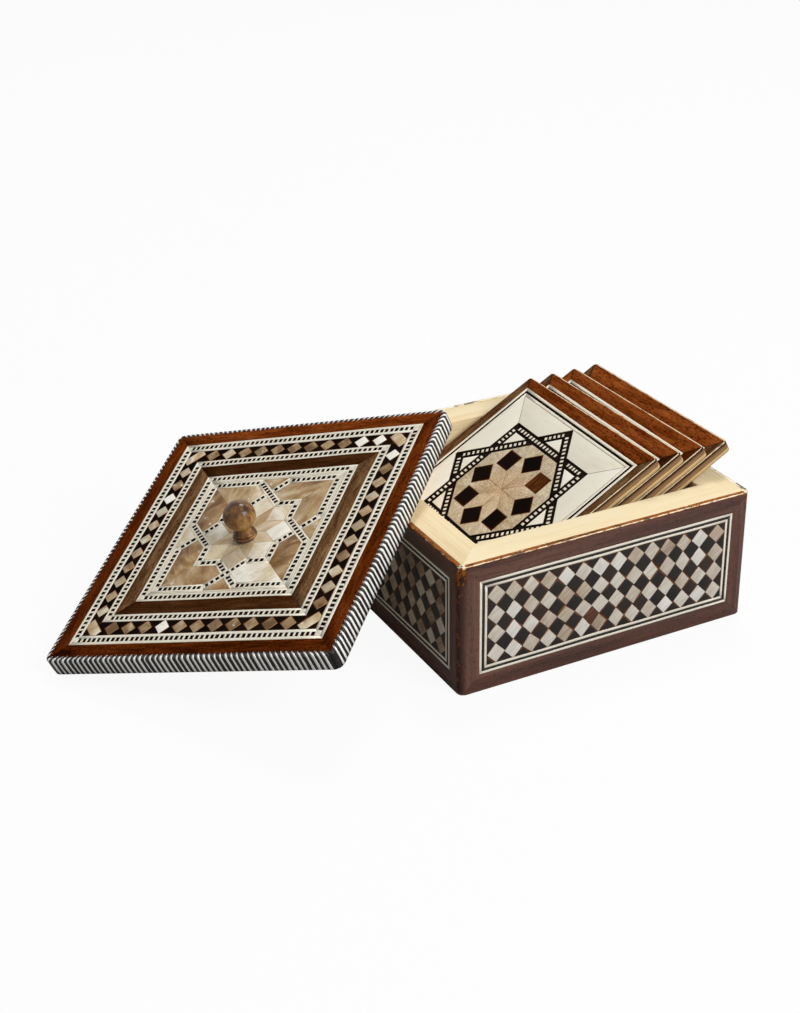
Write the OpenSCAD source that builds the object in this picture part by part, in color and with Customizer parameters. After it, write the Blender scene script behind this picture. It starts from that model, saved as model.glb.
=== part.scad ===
/* [Box] */
// Outside width and depth of the square box
box_w = 128; // [124:0.5:140]
// Height of the box without its lid
box_h = 54; // [50:0.5:66]
// Thickness of a pale wall board
board_t = 12.7; // [11:0.1:13]
// Thickness of the inlaid skin on each side
skin_t = 1.8; // [1.3:0.1:2.2]
// Thickness of the floor board
floor_t = 9; // [5:0.5:10]
// Radius of the upright corners
arris_r = 3; // [0:0.5:4]

/* [Side panels] */
// Width of the upright posts of a side frame
post_w = 8.1; // [6:0.1:12]
// Height of the top and bottom rails of a side frame
rail_h = 7.5; // [5:0.1:10]
// Width of each pale line beside the panel
pale_line_w = 1; // [0.6:0.1:1.5]
// Width of the black line between the two pale ones
black_line_w = 1.1; // [0.6:0.1:1.6]
// Number of columns of light tiles
tile_columns = 14; // [8:1:18]
// Number of rows of light tiles
tile_rows = 4; // [2:1:6]
// Thickness of the tiles and lines on a side
tile_t = 1; // [0.6:0.1:1.2]
// Width of the glue line round a tile
glue_w = 0.4; // [0.2:0.05:0.8]

/* [Lid] */
// How far the lid stands out past the box on each side
lid_overhang = 0.4; // [0:0.05:2.5]
// Thickness of the lid without the panel under it
lid_t = 7.7; // [6:0.1:10]
// Thickness of the locating panel under the lid
locator_t = 2.6; // [1.5:0.1:4]
// Play between the locating panel and the inside of the walls
locator_play = 1; // [0.4:0.1:2]
// Radius of the corners of the lid
lid_r = 3.6; // [1:0.1:5]
// Thickness of the inlay on the lid and the coasters
inlay_t = 0.8; // [0.5:0.1:1.2]
// Width of the striped banding round the lid
banding_w = 1.55; // [1:0.05:2.5]
// Width of the mahogany frame on the lid
mahogany_w = 6.4; // [5:0.05:8]
// Width of the outer dashed stringing
outer_string_w = 4.2; // [3:0.1:4.5]
// Width of the band of diamonds
band_w = 6.4; // [5:0.1:7]
// Number of diamonds along one side of the band
band_diamonds = 11; // [7:1:12]
// Length of the long pearl at each corner of the band
corner_pearl_l = 9; // [7:0.1:10]
// Width of the second and third dashed stringings
inner_string_w = 3.7; // [3:0.1:4]
// Width of the walnut frame
walnut_w = 6.7; // [5:0.1:8]
// Width of each pale line at the edge of a dashed stringing
string_line_w = 0.9; // [0.6:0.05:1.1]
// Width of the plain line round the star panel
plain_line_w = 0.9; // [0.5:0.1:1.5]
// Width of the ribbon that draws the star of the lid
ribbon_w = 3.3; // [2.5:0.1:3.6]

/* [Knob] */
// Diameter of the foot of the knob
knob_foot_d = 9.6; // [8:0.1:12]
// Diameter of the neck of the knob
knob_neck_d = 6; // [5:0.5:7.5]
// Diameter of the ball of the knob
knob_ball_d = 12.6; // [10:0.1:16]
// Height of the ball of the knob
knob_ball_h = 11.8; // [9:0.1:13]
// Height of the knob above the lid
knob_h = 16; // [15:0.1:20]
// Height of the round foot of the knob
knob_foot_h = 1.6; // [1.2:0.1:2]
// Height of the smaller ring on top of that foot
knob_ring_h = 1.1; // [0.8:0.1:1.4]
// How far that ring is set back from the edge of the foot
knob_ring_inset = 0.5; // [0.2:0.1:0.8]
// Lean of the knob in degrees, as it was fitted by hand
knob_lean = 12; // [0:1:14]
// Direction of that lean in the plane of the lid
knob_lean_way = 27; // [0:1:90]
// Diameter of the pin that holds the knob
knob_pin_d = 4; // [3:0.5:5]
// Length of that pin below the face of the lid
knob_pin_l = 5; // [3:0.5:6]
// Clearance round that pin
knob_fit = 0.1; // [0.05:0.05:0.3]

/* [Coasters] */
// Room that a coaster has across the inside of the box
coaster_play = 6.5; // [2:0.5:8]
// Thickness of a coaster
coaster_t = 5; // [4:0.1:5.4]
// Radius of the corners of a coaster
coaster_r = 1.6; // [0.5:0.1:3]
// Width of the mahogany frame of a coaster
coaster_frame_w = 5.1; // [3:0.1:5.5]
// Width of each pale line inside that frame
coaster_pale_w = 1.25; // [0.5:0.05:1.4]
// Width of the black line inside that frame
coaster_black_w = 1; // [0.5:0.05:1.2]
// Distance from the tips of a coaster's star to the edge of its ivory field
star_margin = 0.2; // [0.2:0.1:4]
// Width of the black ribbon of a coaster's star
coaster_ribbon_w = 3.95; // [3:0.05:4.5]
// Side of each dark square in the middle of a coaster
dark_square_w = 8.4; // [6:0.1:9]
// Distance from the dark squares to the edge of the octagon they stand in
dark_square_margin = 0.6; // [0.3:0.1:2]

/* [Resting places] */
// How far the coasters stand off centre along the box
coaster_shift = -0.4; // [-2:0.1:2]
// Slope of the lid in degrees where it leans on the box
lid_lean = 24.3; // [22:0.1:26]
// Turn of the lid in its own plane
lid_turn = -50.2; // [-55:0.1:-45]
// Distance of the middle of the lid from the box's centre line
lid_shift = 16.1; // [5:0.1:25]
// Gap between loose pieces that rest on each other
rest_gap = 0.25; // [0.2:0.05:0.35]
// Gap left at each mitre and joint
seam = 0.1; // [0.05:0.01:0.2]

/* [Hidden] */
LEANING_COASTERS = 4;
FLAT_COASTERS = 2;
COASTERS = LEANING_COASTERS + FLAT_COASTERS;
COASTER_PIECES = ["board", "frame", "ivory", "black", "medallion"];
$fn = 32;

// Box, measured from its middle in plan
box_half = box_w / 2;
board_half = box_half - skin_t;
inside_half = board_half - board_t;

// Panel of one side, inside its frame and inside its lines
ground_w = box_w - 2 * post_w;
ground_h = box_h - 2 * rail_h;
lines_w = 2 * pale_line_w + black_line_w;
panel_w = ground_w - 2 * lines_w;
panel_h = ground_h - 2 * lines_w;
tile_pitch = [panel_w / tile_columns, panel_h / tile_rows];

// Lid, as half widths from the outside in
lid_half = box_half + lid_overhang;
mahogany_half = lid_half - banding_w;
outer_string_half = mahogany_half - mahogany_w;
band_half = outer_string_half - outer_string_w;
middle_string_half = band_half - band_w;
walnut_half = middle_string_half - inner_string_w;
inner_string_half = walnut_half - walnut_w;
plain_line_half = inner_string_half - inner_string_w;
star_panel_half = plain_line_half - plain_line_w;
core_t = lid_t - inlay_t;
locator_half = inside_half - locator_play;

// Band of diamonds: its middle line, pitch and pieces
band_mid = band_half - band_w / 2;
corner_pearl_w = (band_w - glue_w) / sqrt(2);
diamond_span = 2 * (middle_string_half - corner_pearl_l / 2 + corner_pearl_w / 2);
diamond_pitch = diamond_span / band_diamonds;
diamond_d = min(band_w - glue_w, diamond_pitch - glue_w);

// Lid star: two crossed squares inside a ring of ribbon, and the pearl squares in its tips
star_r = 2 * sin(22.5) * (star_panel_half - ribbon_w / 2);
star_square_half = star_r / sqrt(2);
star_outer_half = star_square_half + ribbon_w / 2;
star_inner_half = star_square_half - ribbon_w / 2;
side_pearl_tip = star_outer_half * sqrt(2);
tip_r = star_inner_half * sqrt(2);
tip_side = tip_r * (sqrt(2) - 1);
dart_r = tip_r - tip_side * sqrt(2);
dart_side_r = tip_side / sqrt(2) / sin(22.5);

// Knob, from the lid's face up
knob_ball_z = knob_h - knob_ball_h / 2;
knob_hole_d = knob_pin_d + 2 * knob_fit;

// Lift of the leaning knob at which the low side of its foot just meets the lid
knob_foot_flat_r = (knob_foot_d - knob_foot_h) / 2;
knob_lift = knob_foot_flat_r * sin(knob_lean) + knob_foot_h / 2 * (1 - cos(knob_lean)) + seam / 2;

// Coaster, as half widths from the outside in
coaster_half = inside_half - coaster_play / 2;
coaster_line_half = coaster_half - coaster_frame_w;
coaster_black_half = coaster_line_half - coaster_pale_w;
coaster_inner_line_half = coaster_black_half - coaster_black_w;
field_half = coaster_inner_line_half - coaster_pale_w;
star_half = (field_half - star_margin) / sqrt(2);
medallion_half = star_half - coaster_ribbon_w;
dark_square_r = medallion_half - dark_square_margin - dark_square_w / sqrt(2);
coaster_board_t = coaster_t - inlay_t;

// The leaning coasters fill the box from wall to wall, their low edges on those that lie flat.
// Their slope is the one at which the last meets the right rim as the first meets the left wall.
coaster_pitch = coaster_t + rest_gap;
stack_z = floor_t + FLAT_COASTERS * coaster_t + rest_gap;
lean_room = 2 * inside_half - rest_gap;
lean_rise = box_h - stack_z;
function slope_for(low_edge) = atan(lean_rise / lean_room)
    + asin(((LEANING_COASTERS - 1) * coaster_pitch + rest_gap + low_edge) / norm([lean_room, lean_rise]));
lean_guess = slope_for(coaster_t * pow(sin(slope_for(0)), 2));
lean = slope_for(coaster_t * pow(sin(lean_guess), 2));
lean_x = inside_half - (lean_rise * cos(lean) + rest_gap) / sin(lean);

// Place of the lid: one corner on the ground, and its locating panel on the left rim
lid_reach = (lid_half - lid_r) * (cos(lid_turn) - sin(lid_turn)) + lid_r;
lid_z = lid_reach * sin(lid_lean) + rest_gap;
lid_x = -box_half - (locator_t + rest_gap + (box_h - lid_z) * cos(lid_lean)) / sin(lid_lean);

pale_wood = [0.95, 0.88, 0.68];
mahogany = [0.42, 0.15, 0.07];
walnut = [0.32, 0.21, 0.13];
rosewood = [0.27, 0.16, 0.13];
ivory = [0.9, 0.87, 0.78];
ebony = [0.08, 0.07, 0.06];
pearl = [0.78, 0.72, 0.62];
glue = [0.3, 0.2, 0.12];
olive = [0.42, 0.28, 0.14];

// Square with round corners, given by half its width
module rounded_square(half, r) {
    square([2 * half, 2 * (half - r)], center = true);
    square([2 * (half - r), 2 * half], center = true);
    for (x = [-1, 1], y = [-1, 1])
        translate([x * (half - r), y * (half - r)]) circle(r);
}

// Quarter of the plane that faces -Y, set back by half a seam along its mitres
module quarter(reach) {
    translate([0, -seam / sqrt(2)]) polygon([[0, 0], [-reach, -reach], [reach, -reach]]);
}

// Cuts its child into four mitred strips, one for each side
module mitred(reach) {
    for (side = [0:3])
        intersection() {
            children();
            rotate(90 * side) quarter(2 * reach);
        }
}

// Square line of a given width, its outer edge at half
module line(half, width) {
    difference() {
        square(2 * half, center = true);
        square(2 * (half - width), center = true);
    }
}

// Rectangular line with its outer edge at w by h
module panel_line(w, h, width) {
    difference() {
        square([w, h], center = true);
        square([w - 2 * width, h - 2 * width], center = true);
    }
}

// Square that stands on its corner, d from corner to corner each way
module diamond(d) {
    polygon([[d[0] / 2, 0], [0, d[1] / 2], [-d[0] / 2, 0], [0, -d[1] / 2]]);
}

// Lays a flat drawing on the side that faces -Y, its back at depth from the side's face
module on_side(depth, t) {
    translate([0, depth - box_half, box_h / 2]) rotate([90, 0, 0]) linear_extrude(t) children();
}

// Repeats its child on the four sides of the box
module all_sides() {
    for (side = [0:3])
        rotate([0, 0, 90 * side]) children();
}

module floor_board() {
    color(pale_wood) linear_extrude(floor_t) square(2 * inside_half, center = true);
}

module wall_board(side) {
    color(pale_wood) rotate([0, 0, 90 * side]) linear_extrude(box_h) intersection() {
        line(board_half, board_t);
        quarter(2 * box_w);
    }
}

// One of the four mitred strips of a side's frame: 0 and 1 are rails, 2 and 3 are posts
module frame_strip(strip) {
    w = ground_w / 2;
    h = ground_h / 2;
    rail = [[seam - w, h], [w - seam, h], [box_half - seam, box_h / 2], [seam - box_half, box_h / 2]];
    post = [[w, seam - h], [w, h - seam], [box_half, box_h / 2 - seam], [box_half, seam - box_h / 2]];
    mirror([strip == 3 ? 1 : 0, strip == 1 ? 1 : 0]) polygon(strip < 2 ? rail : post);
}

// Dark frame of one side, with its share of the box's round upright corners
module side_frame(side) {
    color(rosewood) rotate([0, 0, 90 * side])
        for (strip = [0:3])
            intersection() {
                on_side(skin_t, skin_t) frame_strip(strip);
                linear_extrude(box_h) intersection() {
                    rounded_square(box_half, arris_r);
                    quarter(2 * box_w);
                }
            }
}

module side_grounds() {
    color(glue) all_sides() on_side(skin_t, skin_t - tile_t) square([ground_w, ground_h], center = true);
}

module side_pale_lines() {
    inset = 2 * (pale_line_w + black_line_w);
    color(ivory) all_sides() on_side(tile_t, tile_t) {
        panel_line(ground_w, ground_h, pale_line_w);
        panel_line(ground_w - inset, ground_h - inset, pale_line_w);
    }
}

module side_black_lines() {
    inset = 2 * pale_line_w;
    color(ebony) all_sides() on_side(tile_t, tile_t)
        panel_line(ground_w - inset, ground_h - inset, black_line_w);
}

// Diamonds at whole or half steps of the tile pitch, one for each pair of column and row
module tile_grid(columns, rows, step) {
    for (i = columns, j = rows)
        translate([(i + step) * tile_pitch[0] - panel_w / 2, (j + step) * tile_pitch[1] - panel_h / 2])
            diamond(tile_pitch - [glue_w, glue_w]);
}

module light_tiles() {
    color(pearl) all_sides() on_side(tile_t, tile_t)
        tile_grid([0:tile_columns - 1], [0:tile_rows - 1], 0.5);
}

// Full dark tiles between the light ones, and halves where the panel's edge cuts them
module dark_tiles() {
    color(ebony) all_sides() on_side(tile_t, tile_t) intersection() {
        tile_grid([0:tile_columns], [0:tile_rows], 0);
        square([panel_w, panel_h], center = true);
    }
}

// Stands the lid where it leans, with its underside at z = 0 before the move
module lid_place() {
    translate([lid_x, lid_shift, lid_z]) rotate([0, -lid_lean, 0]) rotate([0, 0, lid_turn]) children();
}

// Lays a flat drawing into the face of the lid
module lid_inlay() {
    lid_place() translate([0, 0, core_t]) linear_extrude(inlay_t) children();
}

// Stands the knob on the face of the lid, leaning to one side
module knob_place() {
    lid_place() translate([0, 0, lid_t + knob_lift])
        rotate([0, 0, knob_lean_way]) rotate([0, knob_lean, 0]) rotate([0, 0, -knob_lean_way]) children();
}

// Hole for the pin of the knob, with the same clearance round it and past its end
module knob_hole() {
    knob_place() translate([0, 0, -knob_pin_l - knob_fit]) cylinder(h = 2 * knob_pin_l, d = knob_hole_d);
}

module lid_core() {
    color(pale_wood) difference() {
        lid_place() linear_extrude(core_t) square(2 * mahogany_half, center = true);
        knob_hole();
    }
}

module lid_locating_panel() {
    color(pale_wood) lid_place() translate([0, 0, -locator_t]) linear_extrude(locator_t)
        square(2 * locator_half, center = true);
}

module lid_banding() {
    color(ivory) lid_place() linear_extrude(lid_t) mitred(lid_half) difference() {
        rounded_square(lid_half, lid_r);
        square(2 * mahogany_half, center = true);
    }
}

module lid_mahogany_frame() {
    color(mahogany) lid_inlay() mitred(lid_half) line(mahogany_half, mahogany_w);
}

// The two pale lines of a dashed stringing whose outer edge is at half
module string_lines(half, width) {
    line(half, string_line_w);
    line(half - width + string_line_w, string_line_w);
}

module lid_pale_lines() {
    color(ivory) lid_inlay() {
        string_lines(outer_string_half, outer_string_w);
        string_lines(middle_string_half, inner_string_w);
        string_lines(inner_string_half, inner_string_w);
        line(plain_line_half - seam, plain_line_w - seam);
    }
}

// The row of dashes between the pale lines of a stringing
module dash_row(half, width) {
    line(half - string_line_w, width - 2 * string_line_w);
}

module lid_dash_rows() {
    color(ebony) lid_inlay() {
        dash_row(outer_string_half, outer_string_w);
        dash_row(middle_string_half, inner_string_w);
        dash_row(inner_string_half, inner_string_w);
    }
}

// Diamonds along each side of the band, and a long pearl across each corner, cut by its edges
module band_pearls(grow) {
    corner = band_mid - glue_w;
    for (side = [0:3])
        rotate(90 * side) {
            for (i = [0:band_diamonds - 1])
                translate([(i + 0.5) * diamond_pitch - diamond_span / 2, band_mid])
                    diamond([diamond_d + grow, diamond_d + grow]);
            intersection() {
                translate([corner, corner]) rotate(-45)
                    square([corner_pearl_l + grow, corner_pearl_w + grow], center = true);
                line(band_half - (glue_w - grow) / 2, band_w - glue_w + grow);
            }
        }
}

module lid_band_ground() {
    color(ebony) lid_inlay() difference() {
        line(band_half, band_w);
        band_pearls(0);
    }
}

module lid_band_pearls() {
    color(pearl) lid_inlay() band_pearls(-seam);
}

module lid_walnut_frame() {
    color(walnut) lid_inlay() mitred(lid_half) line(walnut_half, walnut_w);
}

// Two crossed squares of the same size
module crossed_squares(half) {
    square(2 * half, center = true);
    rotate(45) square(2 * half, center = true);
}

// Triangle between the ribbon's crossing and the middle of the top side of the star panel
module side_pearl() {
    rise = star_panel_half - side_pearl_tip;
    polygon([[0, side_pearl_tip], [rise, star_panel_half], [-rise, star_panel_half]]);
}

// Ring of ribbon, joined by the four long strips and the four corners of the star
module lid_star_ribbon() {
    color(ivory) lid_inlay() difference() {
        union() {
            line(star_panel_half, ribbon_w);
            line(star_outer_half, ribbon_w);
            intersection() {
                square(2 * star_panel_half, center = true);
                for (side = [0:3])
                    rotate(90 * side + 45) translate([star_square_half, 0])
                        square([ribbon_w, 4 * star_panel_half], center = true);
            }
        }
        crossed_squares(star_inner_half);
        for (side = [0:3])
            rotate(90 * side) side_pearl();
    }
}

// Two pieces of pearl in each corner of the star panel, joined along the diagonal
module lid_corner_pearls() {
    reach = 2 * star_panel_half;
    color(pearl) lid_inlay()
        for (side = [0:3])
            rotate(90 * side) difference() {
                intersection() {
                    square(2 * (star_panel_half - ribbon_w), center = true);
                    rotate(45) translate([0, -star_inner_half]) square([reach, 2 * star_inner_half]);
                }
                crossed_squares(star_outer_half);
                rotate(45) translate([0, -seam / 2]) square([reach, seam]);
            }
}

module lid_side_pearls() {
    color(pearl) lid_inlay()
        for (side = [0:3])
            rotate(90 * side) side_pearl();
}

// The square in each of the star's eight tips
module tip_squares(side_length) {
    for (tip = [0:7])
        rotate(45 * tip) translate([tip_r - tip_side / sqrt(2), 0]) rotate(45)
            square(side_length, center = true);
}

module lid_star_pearls() {
    color(pearl) lid_inlay() tip_squares(tip_side - seam);
}

// Eight darts that fill the star between its tip squares, bored for the knob's pin
module lid_centre_pearls() {
    dart = [[0, 0], [dart_r, 0], dart_side_r * [cos(22.5), sin(22.5)], dart_r * [cos(45), sin(45)]];
    color(pearl) difference() {
        lid_inlay()
            for (tip = [0:7])
                rotate(45 * tip) difference() {
                    translate(seam * [cos(22.5), sin(22.5)]) polygon(dart);
                    tip_squares(tip_side);
                    rotate(45) translate([0, -seam]) square([tip_r, 2 * seam]);
                }
        knob_hole();
    }
}

// Half-round edge of a turned ring of a given radius and height that starts at z
function turned_ring(r, h, z) = [for (a = [-90:22.5:90]) [r - h / 2 * (1 - cos(a)), z + h / 2 * (1 + sin(a))]];

// Turned knob: a foot of two rings, a short neck and a ball a little wider than high, on a pin
module lid_knob() {
    foot = turned_ring(knob_foot_d / 2, knob_foot_h, 0);
    ring = turned_ring(knob_foot_d / 2 - knob_ring_inset, knob_ring_h, knob_foot_h);
    ball_start = acos(knob_neck_d / knob_ball_d);
    ball = [for (s = [0:12])
        let (a = -ball_start + (90 + ball_start) * s / 12)
            [knob_ball_d / 2 * cos(a), knob_ball_z + knob_ball_h / 2 * sin(a)]];
    profile = concat([[0, 0]], foot, ring, ball);
    color(olive) knob_place() {
        rotate_extrude($fn = 48) polygon(profile);
        translate([0, 0, -knob_pin_l]) cylinder(h = knob_pin_l + knob_foot_h, d = knob_pin_d);
    }
}

// Puts coaster n in its place. The first ones lean on the right rim, and the last lie on the floor.
module coaster_place(n) {
    x = lean_x - (LEANING_COASTERS - n) * coaster_pitch / sin(lean);
    if (n <= LEANING_COASTERS)
        translate([x, coaster_shift, stack_z]) rotate([0, -lean, 0]) translate([coaster_half, 0, 0])
            children();
    else
        translate([0, 0, floor_t + (COASTERS - n) * coaster_t]) children();
}

// Lays a flat drawing into the face of coaster n
module coaster_inlay(n) {
    coaster_place(n) translate([0, 0, coaster_board_t]) linear_extrude(inlay_t) children();
}

module coaster_board(n) {
    color(pale_wood) coaster_place(n) linear_extrude(coaster_board_t) rounded_square(coaster_half, coaster_r);
}

module coaster_frame(n) {
    color(mahogany) coaster_inlay(n) mitred(2 * coaster_half) difference() {
        rounded_square(coaster_half, coaster_r);
        square(2 * coaster_line_half, center = true);
    }
}

// White triangle in a tip of the coaster's star
module coaster_tip() {
    far = medallion_half;
    near = star_half * sqrt(2) - medallion_half;
    polygon([[far, far], [near, far], [far, near]]);
}

// Pale lines, the mitred field round the star, and the triangles in its tips
module coaster_ivory(n) {
    color(ivory) coaster_inlay(n) {
        line(coaster_line_half, coaster_pale_w);
        line(coaster_inner_line_half, coaster_pale_w);
        mitred(2 * coaster_half) difference() {
            square(2 * (field_half - seam), center = true);
            crossed_squares(star_half);
        }
        for (tip = [0:7])
            rotate(45 * tip) coaster_tip();
    }
}

// The dark square in front of each side of the medallion
module dark_squares(side_length) {
    for (tip = [0:7])
        rotate(45 * tip) translate([dark_square_r, 0]) rotate(45) square(side_length, center = true);
}

// Black line, the star's two crossed ribbons and the eight dark squares
module coaster_black(n) {
    color(ebony) coaster_inlay(n) {
        line(coaster_black_half, coaster_black_w);
        line(star_half, coaster_ribbon_w);
        rotate(45) line(star_half, coaster_ribbon_w);
        dark_squares(dark_square_w - seam);
    }
}

// Eight pieces of the octagon inside the star, cut for the dark squares
module coaster_medallion(n) {
    reach = 2 * medallion_half;
    color(pearl) coaster_inlay(n)
        for (tip = [0:7])
            rotate(45 * tip) difference() {
                intersection() {
                    square(reach, center = true);
                    rotate(45) square(reach, center = true);
                    translate(seam * [cos(22.5), sin(22.5)])
                        polygon([[0, 0], [reach, 0], [reach, reach]]);
                }
                dark_squares(dark_square_w);
            }
}

floor_board();
wall_board(0);  // wall_front
wall_board(1);  // wall_right
wall_board(2);  // wall_back
wall_board(3);  // wall_left
side_frame(0);  // frame_front
side_frame(1);  // frame_right
side_frame(2);  // frame_back
side_frame(3);  // frame_left
side_grounds();
side_pale_lines();
side_black_lines();
light_tiles();
dark_tiles();
lid_core();
lid_locating_panel();
lid_banding();
lid_mahogany_frame();
lid_pale_lines();
lid_dash_rows();
lid_band_ground();
lid_band_pearls();
lid_walnut_frame();
lid_star_ribbon();
lid_corner_pearls();
lid_side_pearls();
lid_star_pearls();
lid_centre_pearls();
lid_knob();
for (n = [1:COASTERS]) {
    coaster_board(n);
    coaster_frame(n);
    coaster_ivory(n);
    coaster_black(n);
    coaster_medallion(n);
}
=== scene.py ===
"""An inlaid square box with its lid leaning on it and six matching coasters inside."""

import bpy
import numpy as np
from mathutils import Matrix


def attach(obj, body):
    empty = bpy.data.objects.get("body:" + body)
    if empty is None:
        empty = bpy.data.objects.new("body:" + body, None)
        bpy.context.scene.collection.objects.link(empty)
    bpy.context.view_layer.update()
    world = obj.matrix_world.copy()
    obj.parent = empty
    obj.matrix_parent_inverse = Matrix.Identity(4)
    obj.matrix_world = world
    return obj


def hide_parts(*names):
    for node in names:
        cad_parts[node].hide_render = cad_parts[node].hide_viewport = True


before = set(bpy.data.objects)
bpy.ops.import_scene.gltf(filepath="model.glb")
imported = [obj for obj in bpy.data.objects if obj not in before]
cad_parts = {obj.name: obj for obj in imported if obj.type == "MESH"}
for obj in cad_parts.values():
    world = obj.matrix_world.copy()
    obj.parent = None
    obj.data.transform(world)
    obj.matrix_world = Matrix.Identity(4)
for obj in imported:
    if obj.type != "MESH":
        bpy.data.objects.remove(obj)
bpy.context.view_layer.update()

# ---------------------------------------------------------------------------------------------
# Camera, table and light. A long lens looks down at the near corner of the box, from a little to
# the left of its front. The table is plain and pale. A big soft lamp stands at the right of the
# front, a weaker one behind, and the sky fills the shadows.
# ---------------------------------------------------------------------------------------------

MM = 0.001
camera_target = np.array([-11.08, 85.14, 0.0]) * MM
camera_azimuth, camera_elevation, camera_roll = np.radians([-27.169, 26.782, -0.883])
camera_distance = 783.13 * MM
camera_lens, camera_sensor = 62.07, 36.0
sky_strength = 0.24
table_half, table_height = 3.0, -0.3 * MM
table_dim, table_bright, table_glow = (0.4,) * 3, (0.8,) * 3, 0.93


def facing(back, place):
    """Matrix at place whose Z axis is back and whose X axis is level: X is up x back, made 1
    long, and Y is back x X."""
    back = np.array(back) / np.linalg.norm(back)
    level = np.cross((0.0, 0.0, 1.0), back)
    level /= np.linalg.norm(level)
    matrix = np.eye(4)
    matrix[:3, 0], matrix[:3, 1], matrix[:3, 2] = level, np.cross(back, level), back
    matrix[:3, 3] = place
    return matrix


def turn(degrees):
    """Turn about Z."""
    matrix = np.eye(4)
    sine, cosine = np.sin(np.radians(degrees)), np.cos(np.radians(degrees))
    matrix[:2, :2] = [[cosine, -sine], [sine, cosine]]
    return matrix


def camera_stand():
    """The camera stands camera_distance from its target, at the azimuth and elevation given, and
    is rolled about its own axis."""
    level = np.cos(camera_elevation)
    back = np.array([np.sin(camera_azimuth) * level, -np.cos(camera_azimuth) * level,
                     np.sin(camera_elevation)])
    camera = bpy.data.objects.new("camera", bpy.data.cameras.new("camera"))
    camera.data.lens = camera_lens
    camera.data.sensor_width = camera_sensor
    place = camera_target + back * camera_distance
    camera.matrix_world = Matrix(facing(back, place) @ turn(np.degrees(camera_roll)))
    bpy.context.scene.collection.objects.link(camera)
    bpy.context.scene.camera = camera


def soft_lamp(name, place, size, power):
    """A square lamp, size metres wide, that faces the box."""
    lamp = bpy.data.objects.new(name, bpy.data.lights.new(name, "AREA"))
    lamp.data.shape = "SQUARE"
    lamp.data.size = size
    lamp.data.energy = power
    lamp.matrix_world = Matrix(facing(place, place))
    bpy.context.scene.collection.objects.link(lamp)


class Wire:
    """A socket of a finish. Sums, products and the rest add Math nodes."""

    def __init__(self, finish, socket):
        self.finish = finish
        self.socket = socket

    def math(self, operation, first, second):
        return self.finish.node("ShaderNodeMath", {"operation": operation}, [first, second])

    def __add__(self, other):
        return self.math("ADD", self, other)

    def __radd__(self, other):
        return self.math("ADD", other, self)

    def __sub__(self, other):
        return self.math("SUBTRACT", self, other)

    def __rsub__(self, other):
        return self.math("SUBTRACT", other, self)

    def __mul__(self, other):
        return self.math("MULTIPLY", self, other)

    def __rmul__(self, other):
        return self.math("MULTIPLY", other, self)

    def rises(self, low, high):
        """0 up to low, 1 from high on, smooth between them."""
        settings = {"interpolation_type": "SMOOTHSTEP"}
        return self.finish.node("ShaderNodeMapRange", settings, [self, low, high, 0.0, 1.0])


class Finish:
    """A finish made of nodes. What is the same all over is set on its shader's own sockets."""

    def __init__(self, name, **constants):
        self.material = bpy.data.materials.new(name)
        self.material.use_nodes = True
        self.tree = self.material.node_tree
        self.shader = self.tree.nodes["Principled BSDF"]
        for socket, value in constants.items():
            self.shader.inputs[socket.replace("_", " ")].default_value = value

    def node(self, kind, settings=None, inputs=(), output=0):
        """Adds a node: its settings first, then the values or links of its sockets."""
        node = self.tree.nodes.new(kind)
        for setting, value in (settings or {}).items():
            if setting == "stops":
                while len(node.color_ramp.elements) < len(value):
                    node.color_ramp.elements.new(0.5)
                for element, (position, colour) in zip(node.color_ramp.elements, value):
                    element.position = position
                    element.color = (*colour, 1.0)
            else:
                setattr(node, setting, value)
        for socket, value in inputs.items() if isinstance(inputs, dict) else enumerate(inputs):
            if isinstance(value, Wire):
                self.tree.links.new(value.socket, node.inputs[socket])
            else:
                node.inputs[socket].default_value = value
        return Wire(self, node.outputs[output])

    def held(self, name, output="Fac"):
        """What the mesh holds for each point under that name."""
        return self.node("ShaderNodeAttribute", {"attribute_name": name}, (), output)

    def noise(self, place, scales, detail=2.0, roughness=0.5, distortion=0.0):
        """Noise from 0 to 1 that changes scales times a millimetre along each axis."""
        scaled = self.node("ShaderNodeVectorMath", {"operation": "MULTIPLY"}, [place, scales])
        inputs = {"Vector": scaled, "Scale": 1.0, "Detail": detail, "Roughness": roughness}
        return self.node("ShaderNodeTexNoise", {}, {**inputs, "Distortion": distortion})

    def ramp(self, level, *stops):
        return self.node("ShaderNodeValToRGB", {"stops": stops}, [level])

    def mixed(self, share, first, second, blend="MIX"):
        """Colour first where share is 0, second where it is 1."""
        pair = [value if isinstance(value, Wire) else (*value, 1.0) for value in (first, second)]
        inputs = {0: share, 6: pair[0], 7: pair[1]}
        return self.node("ShaderNodeMix", {"data_type": "RGBA", "blend_type": blend}, inputs, 2)

    def bump(self, height, millimetres):
        inputs = {"Distance": millimetres * MM, "Height": height}
        return self.node("ShaderNodeBump", {}, inputs)

    def done(self, **sockets):
        """Feeds the shader and returns the material."""
        for socket, value in sockets.items():
            self.tree.links.new(value.socket, self.shader.inputs[socket.replace("_", " ")])
        return self.material


def rgb(red, green, blue):
    """A screen colour, 0 to 255, as the light that it stands for: the sRGB curve undone."""
    value = np.array([red, green, blue]) / 255.0
    return tuple(np.where(value <= 0.04045, value / 12.92, ((value + 0.055) / 1.055) ** 2.4).tolist())


def square(half):
    """Corners of a square, counter-clockwise from the near left."""
    return np.array([[-half, -half], [half, -half], [half, half], [-half, half]])


def lifted(outline, height):
    """A flat outline at a height."""
    return np.column_stack([outline, np.full(len(outline), height)])


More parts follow.
